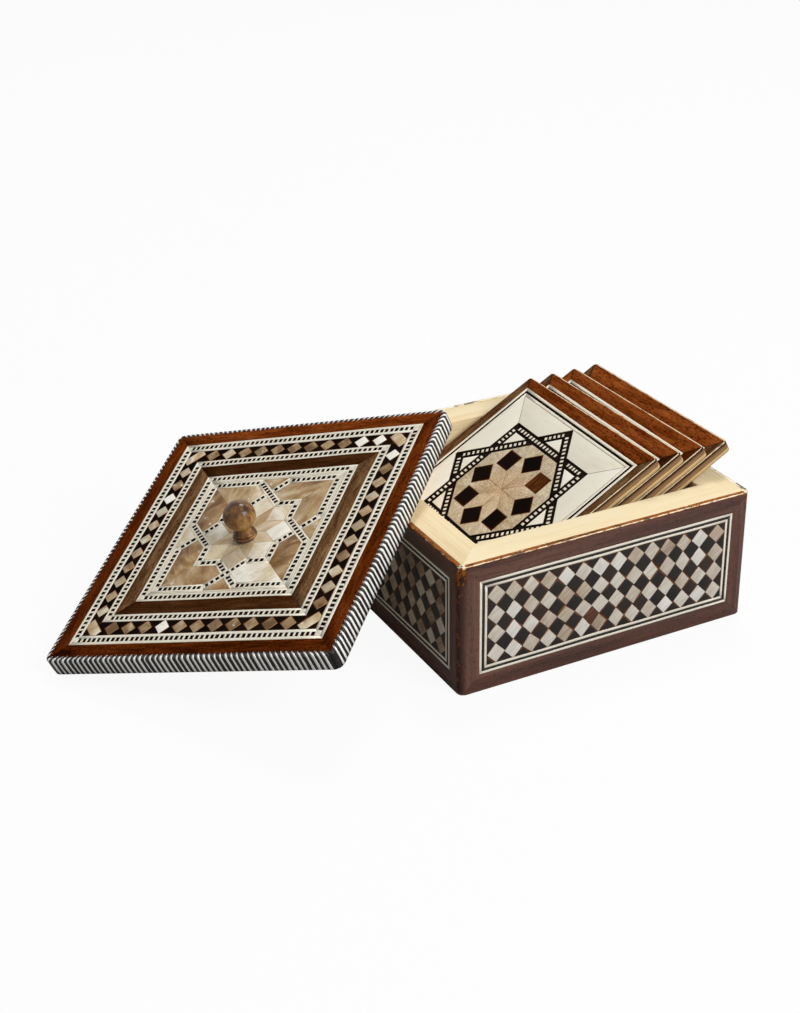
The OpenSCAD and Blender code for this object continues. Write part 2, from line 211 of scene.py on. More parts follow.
def sky():
    """White where the camera and reflections see it, and dimmer as a light."""
    world = bpy.data.worlds.new("sky")
    world.use_nodes = True
    bpy.context.scene.world = world
    nodes, links = world.node_tree.nodes, world.node_tree.links
    background = nodes["Background"]
    background.inputs["Color"].default_value = (1.0, 1.0, 1.0, 1.0)
    path = nodes.new("ShaderNodeLightPath")
    strength = nodes.new("ShaderNodeMapRange")
    strength.inputs["To Min"].default_value = sky_strength
    links.new(strength.outputs["Result"], background.inputs["Strength"])
    seen = path.outputs["Is Camera Ray"]
    for kind in ("Is Glossy Ray", "Is Transmission Ray"):
        either = nodes.new("ShaderNodeMath")
        either.operation = "MAXIMUM"
        links.new(seen, either.inputs[0])
        links.new(path.outputs[kind], either.inputs[1])
        seen = either.outputs[0]
    links.new(seen, strength.inputs["Value"])


def table():
    """A flat white square just under the box. To the camera it is mostly light of its own, so
    that it stays white and still shows the shadow."""
    mesh = bpy.data.meshes.new("table")
    mesh.from_pydata(lifted(square(table_half), table_height).tolist(), [], [(0, 1, 2, 3)])
    finish = Finish("table_white", Roughness=1.0, Specular_IOR_Level=0.0)
    to_camera = finish.node("ShaderNodeLightPath", output="Is Camera Ray")
    mesh.materials.append(finish.done(Base_Color=finish.mixed(to_camera, table_dim, table_bright)))
    glow = finish.node("ShaderNodeEmission", {}, {"Color": (1.0, 1.0, 1.0, 1.0), "Strength": 1.0})
    surface = Wire(finish, finish.shader.outputs[0])
    shown = finish.node("ShaderNodeMixShader", {}, [to_camera * table_glow, surface, glow])
    finish.tree.links.new(shown.socket, finish.tree.nodes["Material Output"].inputs["Surface"])
    floor = bpy.data.objects.new("table", mesh)
    bpy.context.scene.collection.objects.link(floor)


bpy.context.scene.view_settings.view_transform = "Standard"
camera_stand()
soft_lamp("front_lamp", (0.5, -1.4, 1.3), 0.9, 28.5)
soft_lamp("back_lamp", (0.6, 0.7, 2.0), 0.6, 17.0)
sky()
table()

# ---------------------------------------------------------------------------------------------
# Boards of the box. Four pale boards, mitred at the corners, stand round a floor board. Their
# inner and top edges are bare, and a little rounded by hand.
# ---------------------------------------------------------------------------------------------

box_half, box_height = 64.0, 54.0
board_half, inside_half = 62.2, 49.5
board_thickness = board_half - inside_half
outer_round, rim_round = 0.3, 0.8
pale_light, pale_mid, pale_deep = rgb(246, 232, 198), rgb(240, 220, 178), rgb(212, 172, 118)
dice = np.random.default_rng(11)


def straight_runs(path, crossings=()):
    """The straight runs of a closed path: where each starts, its heading, its length and the
    slopes of its two end cuts. At a bend a slope is the tangent of half the turn. Where another
    strip crosses over, given as a point, its heading and its width, the run stops at its edges."""
    ahead = np.roll(path, -1, 0) - path
    lengths = np.linalg.norm(ahead, axis=1)
    ahead = ahead / lengths[:, None]
    before = np.roll(ahead, 1, 0)
    slopes = (before[:, 0] * ahead[:, 1] - before[:, 1] * ahead[:, 0]) / (1 + (before * ahead).sum(1))
    runs = []
    for start, heading, length, first, last in zip(path, ahead, lengths, slopes, np.roll(slopes, -1)):
        left = np.array([-heading[1], heading[0]])
        begin, slope = 0.0, first
        stops = [(float((point - start) @ heading), over, width) for point, over, width in crossings
                 if abs((point - start) @ left) < 1e-6 and 0 < (point - start) @ heading < length]
        for middle, over, width in sorted(stops, key=lambda stop: stop[0]):
            normal = np.array([-over[1], over[0]])
            reach = abs(width / 2 / (heading @ normal))
            cut = (left @ normal) / (heading @ normal)
            runs.append((start + heading * begin, heading, middle - reach - begin, slope, cut))
            begin, slope = middle + reach, -cut
        runs.append((start + heading * begin, heading, length - begin, slope, last))
    return runs


def inset(outline, width):
    """Moves every edge of a counter-clockwise outline inwards by width: each corner goes along
    the sum of its two inward normals, scaled so that both edges keep their distance."""
    ahead = np.roll(outline, -1, 0) - outline
    ahead = ahead / np.linalg.norm(ahead, axis=1, keepdims=True)
    inward = np.stack([-ahead[:, 1], ahead[:, 0]], 1)
    both = inward + np.roll(inward, 1, 0)
    return outline + 2 * width * both / (both * both).sum(1, keepdims=True)


class Pieces:
    """Gathers pieces of one finish into one mesh. Every point holds its place on its own piece in
    millimetres, x along the grain, the piece's tone and ink, and how far down in a joint or how
    worn it is."""

    def __init__(self, matrix=None, warp=None):
        self.matrix = np.eye(4) if matrix is None else matrix
        self.warp = warp
        self.points, self.own, self.looks, self.corners, self.sizes = [], [], [], [], []
        self.count = 0

    def solid(self, rings, own=None, grain=0.0, tone=None, ink=0.0, worn=0.0):
        """A closed piece through stacked rings, counter-clockwise about the way they stack. Faces
        cap the first and the last. Each piece takes its figure from a place of its own."""
        levels, corners = rings.shape[:2]
        index = np.arange(levels * corners).reshape(levels, corners) + self.count
        after = np.roll(index, -1, 1)
        walls = np.stack([index[:-1], after[:-1], after[1:], index[1:]], -1).reshape(-1, 4)
        self.corners += [walls.ravel(), index[0, ::-1], index[-1]]
        self.sizes += [np.full(len(walls), 4), [corners], [corners]]
        own = rings if own is None else own
        own = own.reshape(-1, 3) @ turn(np.degrees(grain))[:3, :3] + dice.uniform(-400, 400, 3)
        points = rings.reshape(-1, 3).copy()
        if self.warp is not None:
            points[:, :2] = self.warp(points[:, :2])
        self.points.append(points @ self.matrix[:3, :3].T + self.matrix[:3, 3])
        self.own.append(own)
        tone = dice.random() if tone is None else tone
        looks = [np.broadcast_to(value, (levels, corners)).ravel() for value in (tone, ink, worn)]
        self.looks.append(np.stack(looks, 1))
        self.count += len(points)

    def tile(self, outline, depth, top=0.0, groove=0.12, drop=0.07, sway=0.0, **look):
        """A flat piece cut to an outline. Its walls stand upright, and at the top they lean in
        over the groove's width. sway is about how high or low its far corner stands, in
        millimetres, for a face that isn't quite level."""
        ahead = np.roll(outline, -1, 0)
        if (outline[:, 0] * ahead[:, 1] - outline[:, 1] * ahead[:, 0]).sum() < 0:
            outline = outline[::-1]
        steps = ((0, -depth), (0, -drop), (0.35 * groove, -0.3 * drop), (groove, 0))
        rings = np.stack([lifted(inset(outline, width), top + height) for width, height in steps])
        spread = outline - outline.mean(0)
        tilt = dice.normal(0, 0.7, 2).clip(-1, 1) * sway / np.linalg.norm(spread, axis=1).max()
        rings[1:, :, 2] += (rings[1:, :, :2] - outline.mean(0)) @ tilt
        self.solid(rings, worn=np.array([[1.0], [1.0], [0.7], [0.0]]), **look)

    def moulding(self, run, profile, knots, lay=None, **look):
        """A straight strip: a closed profile of offset to the left and height, carried along the
        run from one end cut to the other, with a ring at each knot from 0 to 1. lay bends the
        finished rings."""
        start, heading, length, first, last = run
        offset, height = profile[:, 0], profile[:, 1]
        along = first * offset + np.asarray(knots)[:, None] * (length - (first + last) * offset)
        left = np.array([-heading[1], heading[0]])
        flat = start + along[..., None] * heading + offset[:, None] * left
        own = np.stack(np.broadcast_arrays(along, offset, height), -1)
        rings = np.concatenate([flat, np.broadcast_to(height, along.shape)[..., None]], -1)
        self.solid(rings if lay is None else lay(rings), own, **look)

    def build(self, name, finish, body, slot, nodes=(), smooth=None):
        """Makes the object. It rides on a body, takes the finish and stands for CAD nodes; slot is not
        used.
        """
        corners, sizes = np.concatenate(self.corners), np.concatenate(self.sizes)
        mesh = bpy.data.meshes.new(name)
        mesh.vertices.add(self.count)
        mesh.vertices.foreach_set("co", (np.concatenate(self.points) * MM).ravel())
        mesh.loops.add(len(corners))
        mesh.loops.foreach_set("vertex_index", corners)
        mesh.polygons.add(len(sizes))
        mesh.polygons.foreach_set("loop_start", np.cumsum(sizes) - sizes)
        mesh.update(calc_edges=True)
        mesh.validate()
        own = mesh.attributes.new("own", "FLOAT_VECTOR", "POINT")
        own.data.foreach_set("vector", np.concatenate(self.own).ravel())
        for look, values in zip(("tone", "ink", "worn"), np.concatenate(self.looks).T):
            held = mesh.attributes.new(look, "FLOAT", "POINT")
            held.data.foreach_set("value", np.ascontiguousarray(values))
        if smooth is not None:
            mesh.shade_smooth()
            mesh.set_sharp_from_angle(angle=np.radians(smooth))
        mesh.materials.append(finish)
        piece = bpy.data.objects.new(name, mesh)
        bpy.context.scene.collection.objects.link(piece)
        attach(piece, body)
        if nodes:
            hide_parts(*nodes)


def rounded_profile(width, height, round_outer, round_inner):
    """Closed profile of a board on edge, counter-clockwise: two bottom corners, and two upper ones
    that are each a quarter circle of five points."""
    arc = np.radians(np.linspace(0, 90, 5))
    inner = np.column_stack([width - round_inner + round_inner * np.cos(arc),
                             height - round_inner + round_inner * np.sin(arc)])
    outer = np.column_stack([round_outer - round_outer * np.sin(arc),
                             height - round_outer + round_outer * np.cos(arc)])
    return np.concatenate([[[0.0, 0.0], [width, 0.0]], inner, outer])


def pale_wood(name, place_from):
    """Fine straight fibres over a broad soft figure, each board of its own tone."""
    finish = Finish(name, Specular_IOR_Level=0.04)
    place = place_from(finish)
    fibre = finish.noise(place, (0.05, 2.2, 2.2), 3.0, 0.6)
    figure = finish.noise(place, (0.012, 0.16, 0.16), 2.0)
    level = fibre * 0.55 + figure * 0.6 + finish.held("tone") * 0.16 - 0.15
    colour = finish.ramp(level, (0.22, pale_light), (0.5, pale_mid), (0.86, pale_deep))
    return finish.done(Base_Color=colour, Roughness=0.5 + fibre * 0.2, Normal=finish.bump(fibre, 0.05))


def on_own_piece(finish):
    return finish.held("own", "Vector")


def in_the_model(finish):
    """Object coordinates in millimetres."""
    place = finish.node("ShaderNodeTexCoord", output="Object")
    return finish.node("ShaderNodeVectorMath", {"operation": "SCALE"}, {"Vector": place, "Scale": 1000.0})


bare_wood = pale_wood("bare_pale_wood", on_own_piece)
walls = Pieces()
wall_profile = rounded_profile(board_thickness, box_height, outer_round, rim_round)
for run in straight_runs(square(board_half)):
    walls.moulding(run, wall_profile, np.linspace(0, 1, 9))
walls.build("wall_boards", bare_wood, "box", "pale_wood",
            ("wall_front", "wall_right", "wall_back", "wall_left"), smooth=35)
floor_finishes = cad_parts["floor_board"].data.materials
floor_finishes.clear()
floor_finishes.append(pale_wood("floor_pale_wood", in_the_model))

# ---------------------------------------------------------------------------------------------
# Dark frames of the four sides. Two posts and two rails are glued round each inlaid panel, mitred
# together, and the posts go round the box's upright corners. Wear shows orange-brown on the
# corners and pale along the top edge; the white along the front and left top arris is bare wood
# and a painted highlight on the rounded edge.
# ---------------------------------------------------------------------------------------------

side_names = ("front", "right", "back", "left")
post_width, rail_width, skin = 8.1, 7.5, 1.8
corner_round = 3.0
rosewood_deep, rosewood_mid, rosewood_light = rgb(44, 25, 19), rgb(88, 54, 43), rgb(120, 82, 66)
worn_orange, worn_white_and_highlight = rgb(162, 94, 28), rgb(250, 236, 204)


def round_the_corner(points):
    """Wraps a side's skin round the upright corners: what lies beyond the start of the round goes
    up to 45 degrees along an arc about the corner's centre, each depth at its own radius."""
    straight = box_half - corner_round
    angle = np.radians(45) * np.clip(np.abs(points[..., 0]) - straight, 0, None) / corner_round
    radius = corner_round + points[..., 2]
    across = np.where(angle > 0, straight + radius * np.sin(angle), np.abs(points[..., 0]))
    depth = np.where(angle > 0, radius * np.cos(angle) - corner_round, points[..., 2])
    return np.stack([np.sign(points[..., 0]) * across, points[..., 1], depth], -1)


def side_matrix(side):
    """Stands a drawing on side 0 to 3, front, right, back and left: x along the side, y up from
    the middle of the box's height, z outwards."""
    matrix = np.eye(4)
    matrix[:3, :3] = [[1, 0, 0], [0, 0, -1], [0, 1, 0]]
    matrix[:3, 3] = [0, -box_half, box_height / 2]
    return turn(90 * side) @ matrix


def grained_wood(name, deep, mid, light, streak=(0.04, 1.3), pores=0.0, **constants):
    """Dark wood: long streaks of two widths and short dark pores."""
    finish = Finish(name, **constants)
    place = finish.held("own", "Vector")
    broad = finish.noise(place, (streak[0] * 0.4, streak[1] * 0.22, streak[1] * 0.22), 2.0, 0.5, 0.3)
    fine = finish.noise(place, (streak[0], streak[1], streak[1]), 4.0, 0.65)
    pore = finish.noise(place, (0.6, 2.5, 2.5), 3.0, 0.65).rises(0.52, 0.68) * pores
    level = broad * 0.6 + fine * 0.55 + finish.held("tone") * 0.3 - pore - 0.22
    colour = finish.ramp(level, (0.18, deep), (0.5, mid), (0.82, light))
    return finish, colour, fine - pore * 0.5


def side_wood():
    """Satin rosewood. As it wears it loses its varnish and turns orange-brown, then pale, with a
    dark chip here and there; along the front and left arris the pale is also a painted highlight.
    Ink darkens it."""
    finish, colour, height = grained_wood("side_rosewood", rosewood_deep, rosewood_mid, rosewood_light,
                                          pores=0.3, Specular_IOR_Level=0.05, Coat_Roughness=0.4)
    place, held = finish.held("own", "Vector"), finish.held("worn")
    ragged = finish.noise(place, (0.35, 0.8, 0.8), 4.0, 0.75)
    worn = held + (ragged - 0.5) * 1.3
    colour = finish.mixed(finish.held("ink") * 0.8, colour, rosewood_deep)
    colour = finish.mixed(worn.rises(0.28, 0.42) * 0.9, colour, worn_orange)
    # White: bare pale wood on the right and back tops, bare wood and a painted highlight on the front and
    # left arris
    colour = finish.mixed(worn.rises(0.66, 0.74), colour, worn_white_and_highlight)
    chips = finish.noise(place, (0.16, 0.5, 0.5), 3.0, 0.7).rises(0.55, 0.6) * held.rises(0.3, 0.5)
    colour = finish.mixed(chips * 0.8, colour, rosewood_deep)
    varnish = 0.9 - held.rises(0.0, 0.3) * 0.85
    return finish.done(Base_Color=colour, Roughness=0.42 + height * 0.12, Coat_Weight=varnish,
                       Normal=finish.bump(height, 0.03))


rosewood = side_wood()
# Corners of a rail's section, from under its outer edge round to its rubbed arris, and how worn
# each is: with chips at the front and the left, where the white of the rounded arris is bare wood
# and a painted highlight, less on the left, and rubbed bare at the right and the back
rail_profile = np.array([[0, -skin], [rail_width, -skin], [rail_width, -0.06], [rail_width - 0.12, 0],
                         [1.6, 0], [0.75, 0], [0.3, -0.04], [0.1, -0.15], [0, -0.4], [0, -0.85], [0, -1.2]])
chipped_and_highlit = np.array([0.55, 0, 0, 0, 0, 0.12, 0.84, 0.76, 0.4, 0.5, 0.55])
rubbed_bare = np.array([0.95, 0, 0, 0, 0, 0, 0.1, 0.3, 0.9, 0.95, 0.95])
rail_worn = {"front": chipped_and_highlit, "right": rubbed_bare, "back": rubbed_bare, "left": chipped_and_highlit * 0.75}
# Corners of a post's section, up to the middle of the box's round corner, how worn each is, on the
# left side and elsewhere, and how dark
post_profile = np.array([[0, -skin], [post_width, -skin], [post_width, -0.06], [post_width - 0.12, 0],
                         [3.4, 0], [2.6, 0], [1.9, 0], [1.2, 0], [0.6, 0], [0, 0]])
post_worn = np.array([0, 0, 0, 0, 0, 0.02, 0.06, 0.1, 0.12, 0.15])
left_post_worn = np.array([0, 0, 0, 0, 0.05, 0.2, 0.27, 0.25, 0.15, 0.08])
post_dark = np.array([0, 0, 0, 0, 0, 0.1, 0.3, 0.6, 0.8, 0.9])
end_knots = np.array([0, 0.01, 0.02, 0.03, 0.045, 0.06, 0.09])
rail_knots = np.concatenate([end_knots, np.linspace(0.15, 0.85, 9), 1 - end_knots[::-1]])
post_knots = np.linspace(0, 1, 13)
at_ends = np.clip(1 - np.minimum(rail_knots, 1 - rail_knots) / 0.02, 0, 1)[:, None]
corner_rubbed = at_ends * (rail_profile[:, 0] < 1.0)
mitre = post_width / rail_width
for side, name in enumerate(side_names):
    strips = Pieces(side_matrix(side))
    on_left = name == "left"
    for end in (-1, 1):
        corner = np.array([end * box_half, end * box_height / 2])
        rail = (corner, np.array([-end, 0]), 2 * box_half, mitre, mitre)
        post = (corner * [1, -1], np.array([0, end]), box_height, 1 / mitre, 1 / mitre)
        strips.moulding(rail, rail_profile, rail_knots, round_the_corner,
                        tone=0.3 + 0.2 * end + 0.3 * dice.random(),
                        worn=np.clip(rail_worn[name] + corner_rubbed, 0, 1) * (end > 0))
        rise = post_knots if end > 0 else 1 - post_knots
        top_worn = 0.35 * np.clip(rise * 6 - 5, 0, 1)[:, None] * (post_worn > 0)
        # The left side's posts take 1.8 times the ink: darker as painted shade of the lid over that side
        strips.moulding(post, post_profile, post_knots, round_the_corner,
                        worn=(left_post_worn if on_left else post_worn) + top_worn,
                        ink=np.clip(post_dark * (1.8 if on_left else 1.0), 0, 1),
                        tone=0.6 + 0.3 * dice.random())
    strips.build(f"side_frame_{name}", rosewood, "box", "rosewood", (f"frame_{name}",), smooth=40)

# ---------------------------------------------------------------------------------------------
# Inlaid panels of the four sides. A pale, a black and a pale line run round a field of square
# tiles that stand on their corners, grey-white horn and dark wood by turns, cut by hand and set
# in brown glue.
# ---------------------------------------------------------------------------------------------

panel_half = np.array([55.9, 19.5])
side_line_edges = (0.0, 1.0, 2.1, 3.1)
field_half_size = panel_half - side_line_edges[-1]
columns, rows = 14, 4
tile_step = 2 * field_half_size / [columns, rows]
glue_width, horn_joint, tile_thickness, inlay_thickness = 0.42, 0.15, 1.0, 0.8
tile_shake, tile_margin, side_wave, ground_top = 0.36, 0.15, 0.5, -0.22
# How much darker the left side's horn tiles are painted: painted shade of the lid over that side
streak_angle, left_painted_shade = np.radians(38), 0.45
# One tile of the front is orange-brown
orange_tile, orange_tone = ("front", 6, 1), 0.84
ivory_light, ivory_mid, ivory_deep = rgb(248, 243, 228), rgb(236, 228, 208), rgb(202, 178, 142)
ivory_stops = ((0.2, ivory_light), (0.55, ivory_mid), (0.95, ivory_deep))
ebony_deep, ebony_light = rgb(14, 11, 10), rgb(42, 33, 29)
horn_stops = ((0.0, rgb(116, 90, 70)), (0.3, rgb(182, 163, 142)), (0.58, rgb(212, 204, 190)),
              (0.85, rgb(234, 232, 228)))
tile_dark_stops = ((0.1, rgb(21, 15, 12)), (0.5, rgb(34, 23, 17)), (0.75, rgb(64, 33, 15)),
                   (0.97, rgb(160, 92, 40)))
glue_brown, glue_deep = rgb(112, 70, 42), rgb(46, 28, 16)


def trimmed(outline, normal, limit):
    """The part of a convex outline where normal . point is at most limit: corners within stay, and
    each edge that crosses the limit gets a new corner there."""
    room = limit - outline @ np.array(normal, float)
    after, room_after = np.roll(outline, -1, 0), np.roll(room, -1)
    crosses = room * room_after < 0
    share = np.where(crosses, room / np.where(crosses, room - room_after, 1.0), 0.0)
    both = np.stack([outline, outline + (after - outline) * share[:, None]], 1).reshape(-1, 2)
    return both[np.stack([room >= 0, crosses], 1).ravel()]


def hand_made(seed, size, edge):
    """Pushes a drawing about by up to size: each axis gets the sum of three slow sine waves along
    both axes. Nothing moves at the edge, a pair of half widths."""
    waves = np.random.default_rng(seed)
    reach = waves.uniform(0.05, 0.2, (3, 2, 2)) * waves.choice([-1, 1], (3, 2, 2))
    phase = waves.uniform(0, 2 * np.pi, (3, 2))

    def push(points):
        angles = np.einsum("nk,wak->nwa", points, reach) + phase
        calm = np.clip(1 - (np.abs(points) / np.array(edge)) ** 6, 0, 1).prod(1, keepdims=True)
        return points + calm * size / 3 * np.sin(angles).sum(1)

    return push


def corner_square(centre, across):
    """A square on its corner, across from corner to corner along each axis."""
    return np.array(centre) + np.array([[0.5, 0], [0, 0.5], [-0.5, 0], [0, -0.5]]) * across


def shaken(outline, size):
    """A copy turned and moved a little at random, as pieces cut and set by hand."""
    middle = outline.mean(0)
    angle = dice.normal(0, size * 0.1)
    spin = np.array([[np.cos(angle), -np.sin(angle)], [np.sin(angle), np.cos(angle)]])
    stretch = 1 + dice.normal(0, size * 0.12, 2)
    return middle + dice.normal(0, size * 0.35, 2) + (outline - middle) @ spin * stretch


def flat_profile(low, high, depth=inlay_thickness, groove=0.12):
    """Profile of a flat strip between two offsets, its upper edges eased by the groove."""
    return np.array([[low, -depth], [high, -depth], [high, -0.08], [high - groove, 0],
                     [low + groove, 0], [low, -0.08]])


def inked_finish(name, gloss, pale_stops=ivory_stops):
    """Ivory where the ink is 0 and ebony where it is 1, both lightly mottled, brown in the
    joints."""
    finish = Finish(name, Specular_IOR_Level=gloss)
    place = finish.held("own", "Vector")
    mottle = finish.noise(place, (0.25, 0.9, 0.9), 4.0, 0.6)
    level = mottle * 0.9 + finish.held("tone") * 0.3 - 0.1
    pale = finish.ramp(level, *pale_stops)
    dark = finish.ramp(level, (0.2, ebony_deep), (0.9, ebony_light))
    colour = finish.mixed(finish.held("ink"), pale, dark)
    colour = finish.mixed(finish.held("worn") * 0.75, colour, glue_brown)
    return finish.done(Base_Color=colour, Roughness=0.36 + mottle * 0.2, Normal=finish.bump(mottle, 0.03))


def horn():
    """Grey-white horn with soft streaks of brown, each tile of its own shade."""
    finish = Finish("pale_horn", Roughness=0.35, Specular_IOR_Level=0.4)
    place = finish.held("own", "Vector")
    cloud = finish.noise(place, (0.1, 0.35, 0.35), 3.0, 0.55, 0.8)
    streak = finish.noise(place, (0.16, 1.9, 1.9), 4.0, 0.65)
    level = cloud * 0.5 + streak * 0.65 + finish.held("tone") * 0.5 - 0.32
    colour = finish.mixed(finish.held("worn") * 0.8, finish.ramp(level, *horn_stops), glue_brown)
    return finish.done(Base_Color=colour, Normal=finish.bump(cloud, 0.1))


def dark_tile_wood(name, gloss, joint):
    """Near black wood. The tone makes some tiles brown, and at 1 orange-brown."""
    finish = Finish(name, Roughness=0.38, Specular_IOR_Level=gloss)
    streak = finish.noise(finish.held("own", "Vector"), (0.1, 1.6, 1.6), 4.0, 0.6)
    level = finish.held("tone") * 0.92 + (streak - 0.5) * 0.55
    colour = finish.mixed(finish.held("worn") * 0.8, finish.ramp(level, *tile_dark_stops), joint)
    return finish.done(Base_Color=colour, Normal=finish.bump(streak, 0.04))


def glue():
    """Dull brown glue with dust in it."""
    finish = Finish("brown_glue", Roughness=0.7, Specular_IOR_Level=0.1)
    place = finish.held("own", "Vector")
    blot = finish.noise(place, (0.3, 0.3, 0.3), 4.0, 0.7)
    colour = finish.ramp(blot, (0.3, glue_deep), (0.5, glue_brown), (0.8, rgb(150, 108, 70)))
    return finish.done(Base_Color=colour, Normal=finish.bump(blot, 0.06))


pale_horn, brown_glue = horn(), glue()
varnished_ink, inked = inked_finish("varnished_ivory_and_ebony", 0.5), inked_finish("ivory_and_ebony", 0.0)
varnished_dark = dark_tile_wood("varnished_dark_wood", 0.5, glue_brown)
dark_wood = dark_tile_wood("dark_tile_wood", 0.0, rgb(124, 62, 26))
lines, horn_tiles, dark_tiles, grounds = Pieces(), Pieces(), Pieces(), Pieces()
line_worn = np.array([1, 1, 0.8, 0, 0, 0.8])
for side, name in enumerate(side_names):
    place, push = side_matrix(side), hand_made(20 + side, side_wave, panel_half)
    for group in (lines, horn_tiles, dark_tiles):
        group.matrix, group.warp = place, push
    grounds.matrix = place
    panel = square(1.0) * panel_half
    grounds.tile(panel, skin, top=ground_top)
    for run in straight_runs(panel):
        for low, high, ink in zip(side_line_edges, side_line_edges[1:], (0.0, 1.0, 0.0)):
            lines.moulding(run, flat_profile(low, high, tile_thickness, 0.1), np.linspace(0, 1, 12),
                           ink=ink, tone=0.5 * dice.random(), worn=line_worn)
    for column, row in np.ndindex(columns + 1, rows + 1):
        for is_horn, group in ((True, horn_tiles), (False, dark_tiles)):
            if is_horn and (column == columns or row == rows):
                continue
            centre = (np.array([column, row]) + 0.5 * is_horn) * tile_step - field_half_size
            joint = horn_joint if is_horn else glue_width + 0.1
            outline = shaken(corner_square(centre, tile_step - joint), tile_shake)
            for axis in ([1, 0], [-1, 0], [0, 1], [0, -1]):
                outline = trimmed(outline, axis, np.abs(axis) @ field_half_size - tile_margin)
            if is_horn:
                # Left side tiles painted darker, as painted shade of the lid
                tone = dice.random() - left_painted_shade * (name == "left")
            else:
                tone = 0.65 * dice.random() ** 1.5
            if (name, column, row) == orange_tile and not is_horn:
                tone = orange_tone
            grain = streak_angle + dice.normal(0, 0.08)
            group.tile(outline, tile_thickness, sway=0.06, grain=grain, tone=tone)
lines.build("side_lines", varnished_ink, "box", "bone", ("side_pale_lines", "side_black_lines"))
horn_tiles.build("side_horn_tiles", pale_horn, "box", "bone", ("light_tiles",))
dark_tiles.build("side_dark_tiles", varnished_dark, "box", "ebony", ("dark_tiles",))
grounds.build("side_glue", brown_glue, "box", "glue", ("side_grounds",))

# ---------------------------------------------------------------------------------------------
# Boards of the lid. A thick pale board carries the inlay, and a thinner one under it drops
# between the walls. The lid leans on the left rim, one corner on the table.
# ---------------------------------------------------------------------------------------------

lid_half, lid_thickness, locator_thickness, locator_half = 64.4, 7.7, 2.6, 48.5
rest_gap = 0.25
mahogany_edge, outer_string_edge, band_edge, middle_string_edge = 62.85, 56.45, 52.25, 45.85
walnut_edge, inner_string_edge, plain_line_edge, star_panel_edge = 42.15, 35.45, 31.75, 30.85
lid_slope, lid_turned, lid_shift, lid_corner_round = 24.3, -50.2, 16.1, 3.6


def sloped(degrees):
    """Tips a flat piece about Y, so that its +X side rises."""
    matrix = np.eye(4)
    sine, cosine = np.sin(np.radians(degrees)), np.cos(np.radians(degrees))
    matrix[0, 0], matrix[0, 2], matrix[2, 0], matrix[2, 2] = cosine, -sine, sine, cosine
    return matrix


def moved(x, y, z):
    matrix = np.eye(4)
    matrix[:3, 3] = [x, y, z]
    return matrix


def lid_matrix():
    """Puts the lid where it leans: its lowest corner is a small gap above the table, and its
    locating panel a small gap off the left rim."""
    angle, tip = np.radians(lid_turned), np.radians(lid_slope)
    reach = (lid_half - lid_corner_round) * (np.cos(angle) - np.sin(angle)) + lid_corner_round
    height = reach * np.sin(tip) + rest_gap
    x = -box_half - (locator_thickness + rest_gap + (box_height - height) * np.cos(tip)) / np.sin(tip)
    return moved(x, lid_shift, height) @ sloped(lid_slope) @ turn(lid_turned)


def eased_board(outline, low, high, ease=0.12):
    """Rings of a board whose lower edges are rounded in three steps. outline(width) is the
    board's outline drawn in by a width."""
    steps = ((0.5, low), (0.15, low + ease), (0.0, low + 0.5), (0.0, high))
    return np.stack([lifted(outline(width), height) for width, height in steps])


lid_place = lid_matrix()
lid_face = lid_place @ moved(0, 0, lid_thickness)
lid_boards = Pieces(lid_place)
for half, low, high in ((mahogany_edge, 0.0, lid_thickness - inlay_thickness),
                        (locator_half, -locator_thickness, -0.02)):
    lid_boards.solid(eased_board(lambda width: square(half - width), low, high))
lid_boards.build("lid_boards", bare_wood, "lid", "pale_wood", ("lid_core", "lid_locating_panel"))

# ---------------------------------------------------------------------------------------------
# Striped banding of the lid. Slips of black and white wood, black ones a little wider, cover the
# lid's edge, go over its rounded arris and end in a narrow border of its face. The two ends of
# the banding meet at a black slip on the corner nearest the box's front.
# ---------------------------------------------------------------------------------------------

stripe_pitch, white_share, blank_width, arris_round = 2.41, 0.43, 2.8, 1.0
edge_slant, face_slant, slip_play, slip_error, slip_back = 0.12, 0.1, 0.02, 0.04, 0.985
bleached_stops = ((0.25, rgb(255, 253, 248)), (0.8, ivory_light))


def turned_quarters(x, y, quarters):
    """The places x, y, turned about the middle by so many quarter turns."""
    angle = quarters * np.pi / 2
    return np.stack([x * np.cos(angle) - y * np.sin(angle), x * np.sin(angle) + y * np.cos(angle)], -1)


def round_square_path(distance, half, radius):
    """Points at a distance along a square with round corners, counter-clockwise from the middle of
    the right side: on a straight, the side's point, and on a corner, the arc's."""
    straight = 2 * (half - radius)
    bend = radius * np.pi / 2
    along = np.asarray(distance, float) + straight / 2
    side = np.floor(along / (straight + bend))
    rest = along - side * (straight + bend)
    angle = np.clip(rest - straight, 0, None) / radius
    x = half - radius + radius * np.cos(angle)
    y = np.minimum(rest, straight) - straight / 2 + radius * np.sin(angle)
    return turned_quarters(x, y, side)


